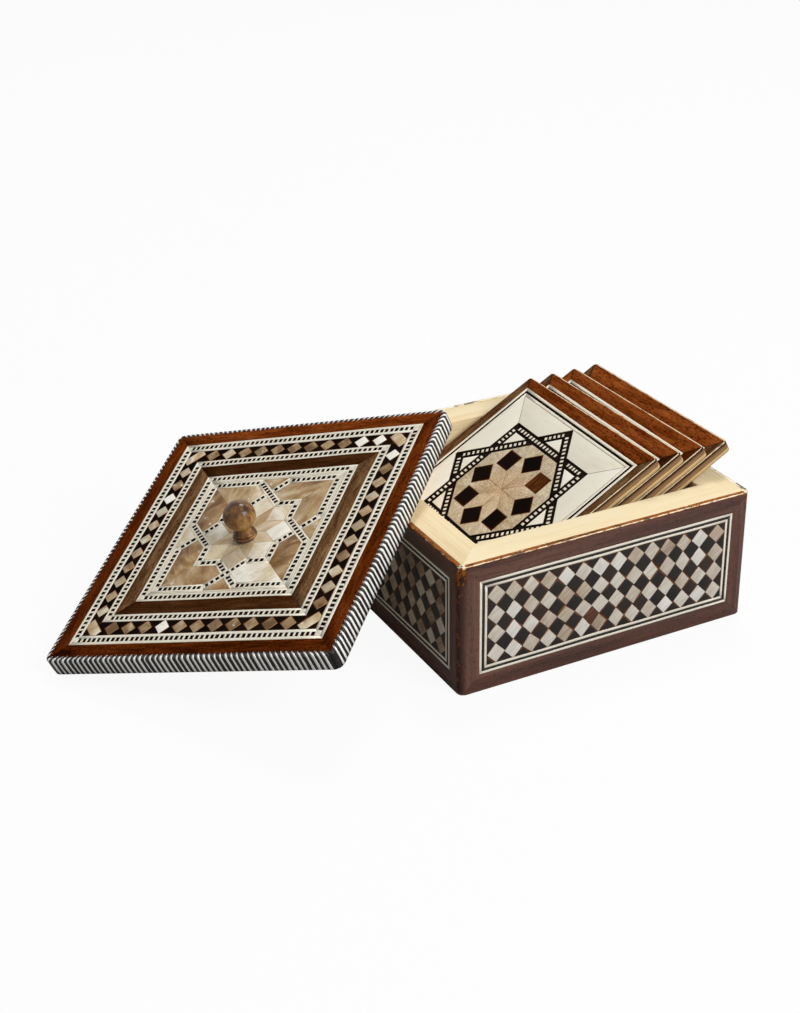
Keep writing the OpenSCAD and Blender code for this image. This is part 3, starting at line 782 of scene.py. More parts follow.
def stripes(group):
    """One strip of surface for each slip. Its rows go up the lid's edge, over the arris along a
    quarter circle and across the border, and each row's place along the edge is shifted by a
    slight slant. On the border the points run inwards along the line to the lid's middle. A last
    column, a little nearer the middle, closes each slip behind."""
    perimeter = 8 * (lid_half - lid_corner_round) + 2 * np.pi * lid_corner_round
    start = lid_corner_round - lid_half - np.pi * lid_corner_round / 4 + blank_width / 2
    pairs = int((perimeter - blank_width) / stripe_pitch)
    marks = np.stack([np.arange(pairs), np.arange(pairs) + white_share], 1).ravel()
    marks = marks + dice.normal(0, 0.035, len(marks))
    marks = start + np.append(marks, pairs) * (perimeter - blank_width) / pairs
    marks = np.append(marks, start + perimeter)
    border = lid_half - mahogany_edge
    bend = np.radians(np.linspace(0, 90, 5))
    inwards = np.concatenate([[0.15, 0, 0], arris_round * (1 - np.cos(bend)), [border, border]])
    height = np.concatenate([[0.0, 2.5, 5.0], lid_thickness - arris_round * (1 - np.sin(bend)),
                             [lid_thickness, lid_thickness - inlay_thickness]])
    for number, (one, two) in enumerate(zip(marks, marks[1:])):
        shift = edge_slant * (height / 7 - 1) - face_slant * inwards + dice.normal(0, slip_error)
        along = np.linspace(one, two, 3) + shift[:, None]
        outer = round_square_path(along, lid_half - slip_play, lid_corner_round)
        middle = outer / np.abs(outer).max(-1, keepdims=True) * mahogany_edge
        flat = outer + (middle - outer) * (inwards / border)[:, None, None]
        surface = np.concatenate([flat, np.broadcast_to(height[:, None], flat.shape[:2])[..., None]], -1)
        back = surface[:, 1:2] * [slip_back, slip_back, 1.0]
        black = number % 2 == 1 or number == 2 * pairs
        group.solid(np.concatenate([surface, back], 1), ink=float(black), tone=0.5 * dice.random() - 0.5)


banding = Pieces(lid_place)
stripes(banding)
striped_slips = inked_finish("striped_slips", 0.4, bleached_stops)
banding.build("lid_striped_banding", striped_slips, "lid", "striped_banding", ("lid_banding",))

# ---------------------------------------------------------------------------------------------
# Mahogany and walnut frames of the lid. Each is four strips of veneer mitred at the corners, with
# a fine dark line at the mitres, rubbed down flush with the rest of the face.
# ---------------------------------------------------------------------------------------------

mahogany_deep, mahogany_mid, mahogany_light = rgb(46, 16, 2), rgb(112, 50, 14), rgb(168, 92, 42)
walnut_deep, walnut_mid, walnut_light = rgb(50, 23, 6), rgb(84, 51, 27), rgb(144, 112, 76)
rubbed_pale_and_highlight = rgb(236, 218, 182)
# How much darker or lighter each strip is, the near one first
mahogany_tones, walnut_tones = (-0.1, 0.3, 0.65, 0.15), (0.05, 1.0, -0.1, 0.85)
flat_worn = np.array([1.0, 1.0, 1.0, 0, 0, 1.0])
lid_wave = 0.22
wavy_lid = hand_made(5, lid_wave, [mahogany_edge, mahogany_edge])


def off_centre(inside, outside, by, stretch):
    """Moves a drawing by a distance plus stretch @ its place: all of it where the larger
    coordinate is up to inside, nothing from outside on, and in proportion between."""
    by, stretch = np.array(by), np.array(stretch)

    def push(points):
        share = np.clip((outside - np.abs(points).max(1, keepdims=True)) / (outside - inside), 0, 1)
        return points + share * (by + points @ stretch.T)

    return push


centre_push = off_centre(middle_string_edge, outer_string_edge, (-0.4, 0.15), [[0.0, 0.008], [0.0, -0.016]])


def lid_push(points):
    return centre_push(wavy_lid(points))


def veneer_wood(name, deep, mid, light, streak, pores):
    """Rubbed down veneer, without varnish: pale where the ink says that it is rubbed through, which
    along the coasters' rounded arris is also a painted highlight, and dark brown in the joints."""
    finish, colour, height = grained_wood(name, deep, mid, light, streak, pores, Specular_IOR_Level=0.0)
    ragged = finish.noise(finish.held("own", "Vector"), (0.25, 2.0, 2.0), 3.0, 0.7)
    # Pale along the coasters' arris: rubbed through and a painted highlight
    rubbed_and_highlit = (finish.held("ink") + (ragged - 0.5) * 1.2).rises(0.55, 0.75)
    colour = finish.mixed(rubbed_and_highlit * 0.9, colour, rubbed_pale_and_highlight)
    colour = finish.mixed(finish.held("worn") * 0.85, colour, glue_deep)
    return finish.done(Base_Color=colour, Roughness=0.36 + height * 0.14, Normal=finish.bump(height, 0.03))


def short_of_mitres(run):
    """A run with a hair's breadth less at each end."""
    start, heading, length, first, last = run
    return start + 0.05 * heading, heading, length - 0.1, first, last


def frame_strips(group, outer_edge, inner_edge, tones):
    """Four mitred strips between two squares."""
    profile = flat_profile(0.0, outer_edge - inner_edge)
    for run, tone in zip(straight_runs(square(outer_edge)), tones):
        group.moulding(short_of_mitres(run), profile, np.linspace(0, 1, 12), tone=tone, worn=flat_worn)


mahogany = veneer_wood("mahogany", mahogany_deep, mahogany_mid, mahogany_light, (0.12, 1.7), 0.45)
walnut = veneer_wood("walnut", walnut_deep, walnut_mid, walnut_light, (0.16, 1.6), 0.35)
mahogany_frame, walnut_frame = Pieces(lid_face, lid_push), Pieces(lid_face, lid_push)
frame_strips(mahogany_frame, mahogany_edge, outer_string_edge, mahogany_tones)
frame_strips(walnut_frame, walnut_edge, inner_string_edge, walnut_tones)
mahogany_frame.build("lid_mahogany_frame_strips", mahogany, "lid", "mahogany", ("lid_mahogany_frame",))
walnut_frame.build("lid_walnut_frame_strips", walnut, "lid", "walnut", ("lid_walnut_frame",))

# ---------------------------------------------------------------------------------------------
# Dashed stringings of the lid. Three bands of two pale lines, with a row of near square black
# dashes in pale wood between them, and one plain line round the star panel. A plate of glue lies
# under the whole inlay.
# ---------------------------------------------------------------------------------------------

outer_line, inner_line, plain_line = 1.2, 1.0, 0.74
dash_pitch, dash_share, dash_slant, dash_error, end_room = 2.27, 0.61, 0.05, 0.04, 0.2
glue_plate, glue_top = 0.78, -0.16


def dash_row(group, run, low, high, pitch, share, slant, gap_ink=0.0):
    """A row of dashes along a run, between two offsets: the room between the end cuts is shared
    into equal pitches, each with one slanted dash in its middle. A piece fills each gap, and the
    end ones meet the end cuts."""
    start, heading, length, first, last = run
    left = np.array([-heading[1], heading[0]])
    across = np.array([low, high])
    lean = slant * (high - low)
    begin = max((first * across).max(), 0.0) + lean / 2 + end_room
    end = length - max((last * across).max(), 0.0) - lean / 2 - end_room
    count = max(int(round((end - begin) / pitch)), 1)
    step = (end - begin) / count
    middles = begin + (np.arange(count) + 0.5) * step
    marks = np.stack([middles - share * step / 2, middles + share * step / 2], 1).ravel()
    marks = marks + dice.normal(0, 0.03 * step, len(marks))
    leans = np.array([-0.5, 0.5]) * (lean + dice.normal(0, dash_error, (len(marks), 1)))
    edges = np.concatenate([[first * across], marks[:, None] + leans, [length - last * across]])
    grain = np.arctan2(heading[1], heading[0])
    for number, (one, two) in enumerate(zip(edges, edges[1:])):
        corners = np.array([[one[0], low], [two[0], low], [two[1], high], [one[1], high]])
        outline = start + corners[:, :1] * heading + corners[:, 1:] * left
        ink = abs(gap_ink - number % 2)
        group.tile(outline, inlay_thickness, groove=0.06, drop=0.05, ink=ink, grain=grain)


def lid_stringing(group, outer_edge, inner_edge, line):
    """Two lines and a row of dashes between two squares."""
    width = outer_edge - inner_edge
    for run in straight_runs(square(outer_edge)):
        for low in (0.0, width - line):
            group.moulding(run, flat_profile(low, low + line, groove=0.06), np.linspace(0, 1, 14),
                           tone=0.4 * dice.random(), worn=flat_worn * 0.4)
        dash_row(group, run, line, width - line, dash_pitch, dash_share, dash_slant)


stringings = Pieces(lid_face, lid_push)
lid_stringing(stringings, outer_string_edge, band_edge, outer_line)
lid_stringing(stringings, middle_string_edge, walnut_edge, inner_line)
lid_stringing(stringings, inner_string_edge, plain_line_edge, inner_line)
for run in straight_runs(square(plain_line_edge - 0.08)):
    stringings.moulding(run, flat_profile(0.0, plain_line, groove=0.06), np.linspace(0, 1, 12),
                        tone=0.75, worn=flat_worn)
stringings.build("lid_stringings", inked, "lid", "dashes", ("lid_pale_lines", "lid_dash_rows"))
lid_glue = Pieces(lid_face)
lid_glue.tile(square(mahogany_edge - 0.05), glue_plate, top=glue_top)
lid_glue.build("lid_glue", brown_glue, "lid", "glue")

# ---------------------------------------------------------------------------------------------
# Band of diamonds of the lid. Squares of mother-of-pearl stand corner to corner between dark
# waisted pieces, and a long pearl cuts across each corner of the band.
# ---------------------------------------------------------------------------------------------

band_middle = (band_edge + middle_string_edge) / 2
pearl_middle = band_middle - glue_width
diamonds_a_side, diamond_across = 11, 6.4
corner_pearl_long, corner_pearl_wide = 9.0, 4.243
diamond_pitch = 2 * (middle_string_edge - corner_pearl_long / 2 + corner_pearl_wide / 2) / diamonds_a_side
# Inner and outer edge of the dark pieces, and how far they keep from a diamond's corner and middle
foot, reach, rim = middle_string_edge + 0.12, band_edge - 0.12, 0.25
bulge = diamond_across / 2 + rim
pearl_stops = ((0.0, rgb(116, 82, 46)), (0.22, rgb(164, 130, 88)), (0.45, rgb(200, 174, 134)),
               (0.66, rgb(226, 210, 178)), (0.88, rgb(254, 250, 238)))
nacre_glue, painted_glint_white, pearl_grey = rgb(196, 156, 106), rgb(255, 250, 236), rgb(224, 236, 254)
pearl_sway, flat_sway, diamond_shake = 0.08, 0.05, 0.28
# Sides, counter-clockwise from the far one, and places on them of the diamonds that catch the
# light: they are painted white, a painted highlight
pearls_with_painted_glint = ((0, 9), (0, 10), (1, 8), (2, 7), (3, 0))


def nacre(name, scale=1.0, contrast=1.0):
    """Mother-of-pearl: bands that wander like grain and broad clouds, from brown through cream to
    white around the piece's tone, greyer with ink, with painted white glints, painted highlights,
    in its lighter clouds, a gloss over gentle waves, and light brown glue in the joints."""
    finish = Finish(name, Specular_IOR_Level=0.08, Coat_Roughness=0.1, Coat_Weight=0.08)
    place = finish.held("own", "Vector")
    cloud = finish.noise(place, (0.1 * scale, 0.16 * scale, 0.16 * scale), 1.0, 0.4, 1.0)
    band = finish.noise(place, (0.3 * scale, 0.6 * scale, 0.6 * scale), 2.0, 0.5, 1.4)
    level = (cloud - 0.5) * (0.9 * contrast) + (band - 0.5) * (0.36 * contrast) + finish.held("tone")
    # Painted glints: white spots in the lighter clouds that stand in for highlights
    glint_painted = finish.noise(place, (0.28, 0.4, 0.4), 3.0, 0.6, 1.0).rises(0.6, 0.7) * cloud.rises(0.42, 0.6)
    colour = finish.mixed(finish.held("ink"), finish.ramp(level, *pearl_stops), pearl_grey, "MULTIPLY")
    colour = finish.mixed(glint_painted * 0.75, colour, painted_glint_white)
    colour = finish.mixed(finish.held("worn") * 0.9, colour, nacre_glue)
    return finish.done(Base_Color=colour, Roughness=0.2 + band * 0.2,
                       Normal=finish.bump(cloud + band * 0.3, 0.5))


def spun(outline, quarter_turns):
    return outline @ turn(90.0 * quarter_turns)[:2, :2].T


def any_grain():
    return dice.uniform(0, 3.1)


def corner_pearl():
    """The long pearl: a rectangle across the far right corner of the band, cut by its edges."""
    sides = square(1.0) * [corner_pearl_long / 2, corner_pearl_wide / 2]
    outline = pearl_middle + sides @ np.array([[-1, 1], [1, 1]]) / np.sqrt(2)
    for axis in ([1, 0], [0, 1]):
        outline = trimmed(outline, axis, band_edge - 0.2)
    return outline


def corner_pieces(last):
    """The dark pieces at the band's far right corner, beyond the last diamond of its far side. The
    pearl's long edges lie where x + y is near or far, and one piece meets its inner end."""
    apart = 1.1 * corner_pearl_wide / np.sqrt(2)
    near, far = 2 * pearl_middle - apart, 2 * pearl_middle + apart
    end = pearl_middle - (corner_pearl_long + corner_pearl_wide) / 2 / np.sqrt(2) - 0.15
    inner = np.array([[last + rim, foot], [foot - 0.05, foot], [near / 2 - 0.05, near / 2],
                      [end, near - end], [2 * end + reach - near, reach],
                      [last + rim, reach], [last + bulge, band_middle]])
    outer = np.array([[far - reach, reach], [reach, far - reach], [reach, reach]])
    return inner, inner[:, ::-1], outer


pearl = nacre("mother_of_pearl")
band_pearls, band_ground = Pieces(lid_face, lid_push), Pieces(lid_face, lid_push)
middles = (np.arange(diamonds_a_side) + 0.5 - diamonds_a_side / 2) * diamond_pitch
for quarter in range(4):
    along = quarter * np.pi / 2
    for number, middle in enumerate(middles):
        outline = shaken(corner_square((middle, band_middle), diamond_across), diamond_shake)
        # A diamond that catches the light is painted white, a painted highlight
        shows_painted_glint = (quarter, number) in pearls_with_painted_glint
        tone = 1.0 if shows_painted_glint else dice.uniform(0.12, 0.6) - 0.08 * (quarter == 2)
        band_pearls.tile(spun(outline, quarter), inlay_thickness, sway=pearl_sway, grain=any_grain(),
                         tone=tone, ink=0.0 if shows_painted_glint else dice.uniform(0.2, 0.75))
    for one, two in zip(middles, middles[1:]):
        waist = np.array([[one + rim, foot], [two - rim, foot], [two - bulge, band_middle],
                          [two - rim, reach], [one + rim, reach], [one + bulge, band_middle]])
        band_ground.tile(spun(waist, quarter), inlay_thickness, tone=0.5 * dice.random() ** 2, grain=along)
    band_pearls.tile(spun(corner_pearl(), quarter), inlay_thickness, sway=pearl_sway, tone=0.5,
                     grain=0.785 - along)
    for piece in corner_pieces(middles[-1]):
        band_ground.tile(spun(piece, quarter), inlay_thickness, tone=0.4 * dice.random(), grain=along)
band_pearls.build("lid_band_diamonds", pearl, "lid", "pearl", ("lid_band_pearls",))
band_ground.build("lid_band_dark_pieces", dark_wood, "lid", "ebony", ("lid_band_ground",))

# ---------------------------------------------------------------------------------------------
# Star panel of the lid. Two endless ribbons, each a row of dashes between two white lines, run
# round the panel, draw the two crossed squares of the star and pass over and under each other.
# Mother-of-pearl fills the corners, the sides and the star.
# ---------------------------------------------------------------------------------------------

ribbon, ribbon_line, root = 3.3, 0.82, np.sqrt(2)
ring_middle = star_panel_edge - ribbon / 2
star_radius = 2 * np.sin(np.radians(22.5)) * ring_middle
star_side = star_radius / root
star_outer, star_inner = star_side + ribbon / 2, star_side - ribbon / 2
shell_joint = 0.04
# Tones of the shell, from the right or the top counter-clockwise, 0 brown and 1 white
kite_tones = (0.27, 0.38, 0.13, 0.38, 0.32, 0.2, 0.14, 0.78)
side_tones, tip_tones = (0.24, 0.64, 0.2, 0.34), (0.8, 0.76, 0.7, 0.6, 0.72, 0.62, 0.62, 0.74)
dart_tones = (0.6, 0.35, 0.5, 0.45, 0.5, 0.55, 0.5, 0.62)


def ribbon_path(mirror):
    """One ribbon's middle line: from a corner of the ring down its side, along a long strip, round
    a corner of the star's upright square and so on, the second half being the first turned by half
    a turn."""
    p, b, a, r = ring_middle, ring_middle - star_radius, star_side, star_radius
    half = np.array([[p, p], [p, b], [a, a - r], [a, -a], [r - a, -a], [-b, -p]])
    return np.concatenate([half, -half]) * [mirror, 1]


def weave(group, path, crossings):
    """Two lines and a row of dashes along a path, which stops at the edges of what crosses it."""
    side = ribbon / 2
    for run in straight_runs(path, crossings):
        for low in (-side, side - ribbon_line):
            group.moulding(run, flat_profile(low, low + ribbon_line, groove=0.06), np.linspace(0, 1, 4),
                           tone=0.35 * dice.random(), worn=flat_worn * 0.4)
        dash_row(group, run, ribbon_line - side, side - ribbon_line, dash_pitch, dash_share, dash_slant)


ribbons = Pieces(lid_face, lid_push)
slant_down, slant_up = np.array([1, -1]) / root, np.array([1, 1]) / root
under_second = [(np.array(point) * star_radius, slant_down, ribbon) for point in ((0, 1), (1, 0), (-1, 0))]
weave(ribbons, ribbon_path(1)[::-1], under_second)
weave(ribbons, ribbon_path(-1), [(np.array([0, -star_radius]), slant_up, ribbon)])
ribbons.build("lid_star_ribbons", inked, "lid", "dashes", ("lid_star_ribbon",))

# Outlines of one kite in a corner, one piece at a side, one square in a tip and one dart. The
# turned square's outer edge lies where x + y is edge_sum, and its inner one where it is strip_side
panel_inside, edge_sum, strip_side = star_panel_edge - ribbon, star_outer * root, star_inner * root
kite = np.array([[star_outer, star_outer], [edge_sum - star_outer, star_outer],
                 [(edge_sum - strip_side) / 2, (edge_sum + strip_side) / 2],
                 [panel_inside - strip_side, panel_inside], [panel_inside, panel_inside]])[::-1]
side_piece = np.array([[0, edge_sum], [star_panel_edge - edge_sum, star_panel_edge],
                       [edge_sum - star_panel_edge, star_panel_edge]])
tip_half = strip_side * (1 - 1 / root)
tip_middle, dart_start = strip_side - tip_half, strip_side - 2 * tip_half
tip_square = np.array([[strip_side, 0], [tip_middle, tip_half], [dart_start, 0], [tip_middle, -tip_half]])
dart = np.array([[0.0, 0.0], [dart_start, 0.0], [tip_middle, tip_half],
                 [dart_start / root, dart_start / root]])
corner_nacre, side_nacre, star_nacre, dart_nacre = (Pieces(lid_face, lid_push) for _ in range(4))
for eighth in range(8):
    spin = turn(45.0 * eighth)[:2, :2].T
    star_nacre.tile(inset(tip_square, shell_joint / 2) @ spin, inlay_thickness, sway=pearl_sway,
                    grain=any_grain(), tone=tip_tones[eighth])
    dart_nacre.tile(inset(dart, shell_joint / 2) @ spin, inlay_thickness, sway=flat_sway,
                    grain=np.radians(45.0 * eighth + 22), tone=dart_tones[eighth])
for quarter in range(4):
    side_nacre.tile(spun(inset(side_piece, shell_joint), quarter), inlay_thickness, sway=flat_sway,
                    grain=any_grain(), tone=side_tones[quarter])
    for number, outline in enumerate((kite, kite[::-1, ::-1])):
        corner_nacre.tile(spun(inset(outline, shell_joint / 2), quarter), inlay_thickness, sway=pearl_sway,
                          grain=any_grain(), tone=kite_tones[2 * quarter + number])
shell = nacre("broad_mother_of_pearl", 0.6, 1.2)
bright_shell = nacre("bright_mother_of_pearl", 0.8, 0.6)
corner_nacre.build("lid_corner_nacre", shell, "lid", "pearl", ("lid_corner_pearls",))
side_nacre.build("lid_side_nacre", shell, "lid", "pearl", ("lid_side_pearls",))
star_nacre.build("lid_star_tips", bright_shell, "lid", "pearl", ("lid_star_pearls",))
dart_nacre.build("lid_star_darts", bright_shell, "lid", "pearl", ("lid_centre_pearls",))

# ---------------------------------------------------------------------------------------------
# Knob. Turned from one piece of olive wood and polished: a ringed foot, a waist, and a ball that
# is a little flat, with a fine crease just under its widest part. Its pin is glued into the lid.
# ---------------------------------------------------------------------------------------------

knob_height, ball_width, ball_height = 16.0, 12.6, 11.8
foot_width, neck_width, foot_height, ring_height, ring_inset = 9.6, 6.0, 1.6, 1.1, 0.5
knob_lean, knob_lean_way, knob_lift, knob_foot = 12.0, 27.0, 0.3, (-0.2, -2.2)
palest_height, pale_reach, knob_columns = 8.6, 4.2, 64


def turned_ring(width, height, low):
    """Half-round edge of a ring: its radius is largest halfway up."""
    swell = np.linspace(-np.pi / 2, np.pi / 2, 12)
    return np.column_stack([width / 2 - height / 2 * (1 - np.cos(swell)),
                            low + height / 2 * (1 + np.sin(swell))])


def knob_profile():
    """Radius and height from the pin's end to the crown. The ball is a half ellipse with a fine
    crease under its widest part, the foot is two half rounds, and a cone joins them."""
    start = -np.arccos(neck_width / ball_width)
    angle = np.linspace(start, np.pi / 2, 60)
    crease = 1 - 0.03 * np.exp(-((angle + 0.1) / 0.05) ** 2)
    ball = np.column_stack([ball_width / 2 * np.cos(angle) * crease,
                            knob_height - ball_height / 2 + ball_height / 2 * np.sin(angle)])
    foot = turned_ring(foot_width, foot_height, 0.0)
    ring = turned_ring(foot_width - 2 * ring_inset, ring_height, foot_height)
    pin = np.array([[1.0, -5.0], [1.95, -4.9], [1.95, 0.0]])
    return np.concatenate([pin, foot, ring, ball[:-1]])


def olive_wood():
    """Fine streaks over a broad curling figure. Ink darkens it."""
    finish = Finish("olive_wood", Roughness=0.4, Specular_IOR_Level=0.1, Coat_Weight=0.35,
                    Coat_Roughness=0.05)
    place = finish.held("own", "Vector")
    figure = finish.noise(place, (0.16, 0.16, 0.05), 3.0, 0.6, 1.6)
    streak = finish.noise(place, (0.9, 0.9, 0.14), 3.0, 0.6, 0.6)
    level = figure * 1.1 + streak * 0.5 - 0.31 - finish.held("ink") * 0.18
    colour = finish.ramp(level, (0.12, rgb(56, 32, 14)), (0.34, rgb(108, 72, 36)),
                         (0.56, rgb(162, 120, 70)), (0.8, rgb(204, 166, 112)))
    return finish.done(Base_Color=colour, Normal=finish.bump(streak, 0.02))


lean_of_knob = turn(knob_lean_way) @ sloped(-knob_lean) @ turn(-knob_lean_way)
knob = Pieces(lid_face @ moved(*knob_foot, knob_lift) @ lean_of_knob)
radius, height = knob_profile()[:, :1], knob_profile()[:, 1:]
angle = np.linspace(0, 2 * np.pi, knob_columns, endpoint=False)
rings = np.stack(np.broadcast_arrays(radius * np.cos(angle), radius * np.sin(angle), height), -1)
pale = np.clip(1.3 - np.abs(height - palest_height) / pale_reach, 0, 1)
knob.solid(rings, tone=0.5, ink=1 - pale)
knob.build("lid_turned_knob", olive_wood(), "lid", "olive_wood", ("lid_knob",), smooth=50)

# ---------------------------------------------------------------------------------------------
# Coasters. Six square boards, their edges cut through layers of tan and brown wood. Four lean one
# on the other against the right rim, and two lie flat under them.
# ---------------------------------------------------------------------------------------------

coaster_half, coaster_board, coaster_corner, coaster_shift = 46.25, 4.2, 1.6, -0.4
lean, lean_step, lean_low, low_edge, flat_heights = 28.82144, 5.25, -14.1726, 19.25, (14.0, 9.0)
coasters, leaning = range(1, 7), 4


def coaster_matrix(number):
    """Stands a coaster's underside in its place: 1 to 4 lean in a row, 5 and 6 lie on the floor."""
    if number > leaning:
        return moved(0, 0, flat_heights[number - leaning - 1])
    x = lean_low - (leaning - number) * lean_step / np.sin(np.radians(lean))
    return moved(x, coaster_shift, low_edge) @ sloped(lean) @ moved(coaster_half, 0, 0)


def coaster_body(number):
    return f"coaster_{number}" if number <= leaning else "box"


def layered_wood():
    """Layers of core wood by height, which the ink holds: pale below, browner above, dark at the
    joint and along the upper arris, with fine lines all along. Dark brown at the lower arris and the
    underside is a painted shadow, the dark line under each leaning coaster."""
    finish = Finish("layered_core", Roughness=0.6, Specular_IOR_Level=0.1)
    place = finish.held("own", "Vector")
    fleck = finish.noise(place, (0.1, 0.1, 2.2), 4.0, 0.65)
    level = finish.held("ink") + (fleck - 0.5) * 0.3
    # The first stop, dark brown at ink 0, is the painted shadow along the lower arris
    colour = finish.ramp(level, (0.0, rgb(84, 56, 34)), (0.1, rgb(190, 156, 106)),
                         (0.4, rgb(218, 188, 138)), (0.48, rgb(110, 80, 52)), (0.56, rgb(150, 116, 80)),
                         (0.84, rgb(122, 90, 60)), (0.96, rgb(72, 46, 28)))
    return finish.done(Base_Color=colour, Normal=finish.bump(fleck, 0.06))


def round_square(half, radius):
    """Outline of a square with round corners, six points to each."""
    quarter_turns = np.repeat(np.arange(4), 6)
    angle = np.tile(np.linspace(0, 0.999, 6), 4) * np.pi / 2
    x, y = half - radius + radius * np.cos(angle), half - radius + radius * np.sin(angle)
    return turned_quarters(x, y, quarter_turns)


core_wood = layered_wood()
for number in coasters:
    board = Pieces(coaster_matrix(number))
    rings = eased_board(lambda width: round_square(coaster_half - width, coaster_corner),
                        0.0, coaster_board - 0.02, 0.13)
    board.solid(rings, ink=np.array([[0.0], [0.03], [0.12], [1.0]]))
    board.build(f"coaster_{number}_core", core_wood, coaster_body(number), "coaster_core",
                (f"coaster_{number}_board",))

# ---------------------------------------------------------------------------------------------
# Inlay of the coasters. A mahogany frame with worn edges, its pale arris worn core and a painted
# highlight, a pale, a black and a pale line, an ivory field mitred in four, the two dashed black
# squares of the star woven over and under, and an octagon of eight beige pieces with eight dark
# squares set in it.
# ---------------------------------------------------------------------------------------------

coaster_line, coaster_black, coaster_inner, field_edge = 41.15, 39.9, 38.9, 37.65
coaster_lines = ((coaster_line, 1.25, 0.0), (coaster_black, 1.0, 1.0), (coaster_inner, 1.25, 0.0))
star_half, coaster_ribbon, ribbon_dashes = 26.481, 3.95, (-0.8, 0.75)
star_dash_pitch, star_dash_share, field_joint, wedge_joint = 2.1, 0.52, 0.06, 0.05
medallion_half, square_side, square_margin, wedge_turn = 22.531, 8.4, 0.6, np.radians(22.5)
beige_stops = ((0.1, rgb(160, 138, 106)), (0.32, rgb(194, 176, 146)), (0.55, rgb(214, 200, 172)),
               (0.85, rgb(240, 232, 214)))
pinkish, joint_beige = rgb(255, 226, 200), rgb(166, 136, 100)
# How far each coaster's inlay sits off the middle, and how it is stretched
unstretched, stretched = [[0.0, 0.0], [0.0, 0.0]], [[0.0, 0.0175], [0.0, 0.0]]
inlay_places = (((-1.2, -0.7), [[0.0096, 0.024], [0.0143, 0.0153]]), ((-1.2, -0.3), stretched),
                ((-1.2, -0.3), stretched), ((-2.3, 0.0), unstretched),
                ((0.2, 0.1), [[0.0, 0.004], [-0.004, 0.0]]), ((-0.1, 0.2), [[0.0, -0.003], [0.003, 0.0]]))


def beige_wood():
    """Mottled beige burr with dark specks. Ink makes it pinker."""
    finish = Finish("beige_burr", Roughness=0.42, Specular_IOR_Level=0.04)
    place = finish.held("own", "Vector")
    cloud = finish.noise(place, (0.15, 0.3, 0.3), 4.0, 0.6, 1.0)
    speck = finish.noise(place, (1.1, 1.6, 1.6), 3.0, 0.7)
    level = cloud * 0.9 + finish.held("tone") * 0.12 - 0.1 + (speck - 0.5) * 1.3
    colour = finish.mixed(finish.held("ink") * 0.7, finish.ramp(level, *beige_stops), pinkish, "MULTIPLY")
    colour = finish.mixed(finish.held("worn") * 0.5, colour, joint_beige)
    return finish.done(Base_Color=colour, Normal=finish.bump(cloud + speck * 0.4, 0.05))


def ivory_field():
    """Ivory-coloured wood, almost plain, with faint long cloudy streaks."""
    finish = Finish("ivory_field", Roughness=0.4, Specular_IOR_Level=0.04)
    place = finish.held("own", "Vector")
    cloud = finish.noise(place, (0.03, 0.12, 0.12), 3.0, 0.6)
    fine = finish.noise(place, (0.1, 1.6, 1.6), 3.0, 0.6)
    level = cloud * 0.6 + fine * 0.3 + finish.held("tone") * 0.2
    colour = finish.ramp(level, (0.3, rgb(252, 248, 236)), (0.6, rgb(246, 240, 222)),
                         (0.95, rgb(226, 212, 184)))
    colour = finish.mixed(finish.held("worn") * 0.8, colour, glue_brown)
    return finish.done(Base_Color=colour, Normal=finish.bump(fine, 0.03))


def round_coaster_corner(points):
    """Pulls the corners of a square in to a round: in each corner's own little square a point goes
    towards the centre of the round until its larger coordinate is its distance."""
    start = coaster_half - coaster_corner
    beyond = np.clip(np.abs(points[..., :2]) - start, 0, None)
    far = np.linalg.norm(beyond, axis=-1, keepdims=True)
    scale = beyond.max(-1, keepdims=True) / np.where(far > 0, far, 1.0)
    flat = np.sign(points[..., :2]) * (np.minimum(np.abs(points[..., :2]), start) + beyond * scale)
    return np.concatenate([flat, points[..., 2:]], -1)


# Corners of a frame strip's section, from its outer edge round to its worn arris, how dark with
# glue each is, and how pale it is rubbed, the pale of the arris being worn core and a painted highlight
worn_frame = np.array([[0.0, -0.8], [5.1, -0.8], [5.1, -0.06], [4.98, 0.0], [1.3, 0.0], [0.62, 0.0],
                       [0.4, -0.03], [0.12, -0.22], [0.0, -0.4], [0.0, -0.6]])
frame_glued = np.array([1.0, 1, 1, 0, 0, 0, 0, 0, 0.7, 1])
frame_rubbed_and_highlit = np.array([0.0, 0, 0, 0, 0, 0.1, 0.8, 0.8, 0.2, 0])
ends = np.array([0, 0.006, 0.012, 0.02, 0.035])
frame_knots = np.concatenate([ends, np.linspace(0.1, 0.9, 7), 1 - ends[::-1]])
mitre_dark = np.clip(1 - np.minimum(frame_knots, 1 - frame_knots) / 0.009, 0, 1)[:, None]
# Outlines of half a side of the field, of the triangle in a tip of the star, of a dark square and
# of the wedge of the octagon round it
field_half = np.array([[field_edge, field_edge], [0.1, field_edge], [star_half * (root - 1), star_half],
                       [star_half, star_half]])
star_tip = np.array([[medallion_half, medallion_half], [star_half * root - medallion_half, medallion_half],
                     [medallion_half, star_half * root - medallion_half]])
square_reach = square_side / root
square_middle = medallion_half - square_margin - square_reach
dark_square = corner_square((square_middle, 0), 2 * square_reach - 0.2)
wedge = np.array([[0, 0], [square_middle - square_reach, 0], [square_middle, square_reach],
                  [medallion_half - square_margin, 0.0], [medallion_half, 0],
                  [medallion_half, medallion_half * np.tan(wedge_turn)],
                  [medallion_half / root, medallion_half / root]])
next_square = corner_square((square_middle, 0), 2 * square_reach) @ turn(45.0)[:2, :2].T
wedge = np.concatenate([wedge, next_square[[0, 3, 2]]])
central = np.clip(1.25 - np.linalg.norm(wedge, axis=1) / 14.0, 0, 1)


def star_square(turned):
    """Middle line of one of the star's two squares."""
    return square(star_half - coaster_ribbon / 2) @ turn(turned)[:2, :2].T


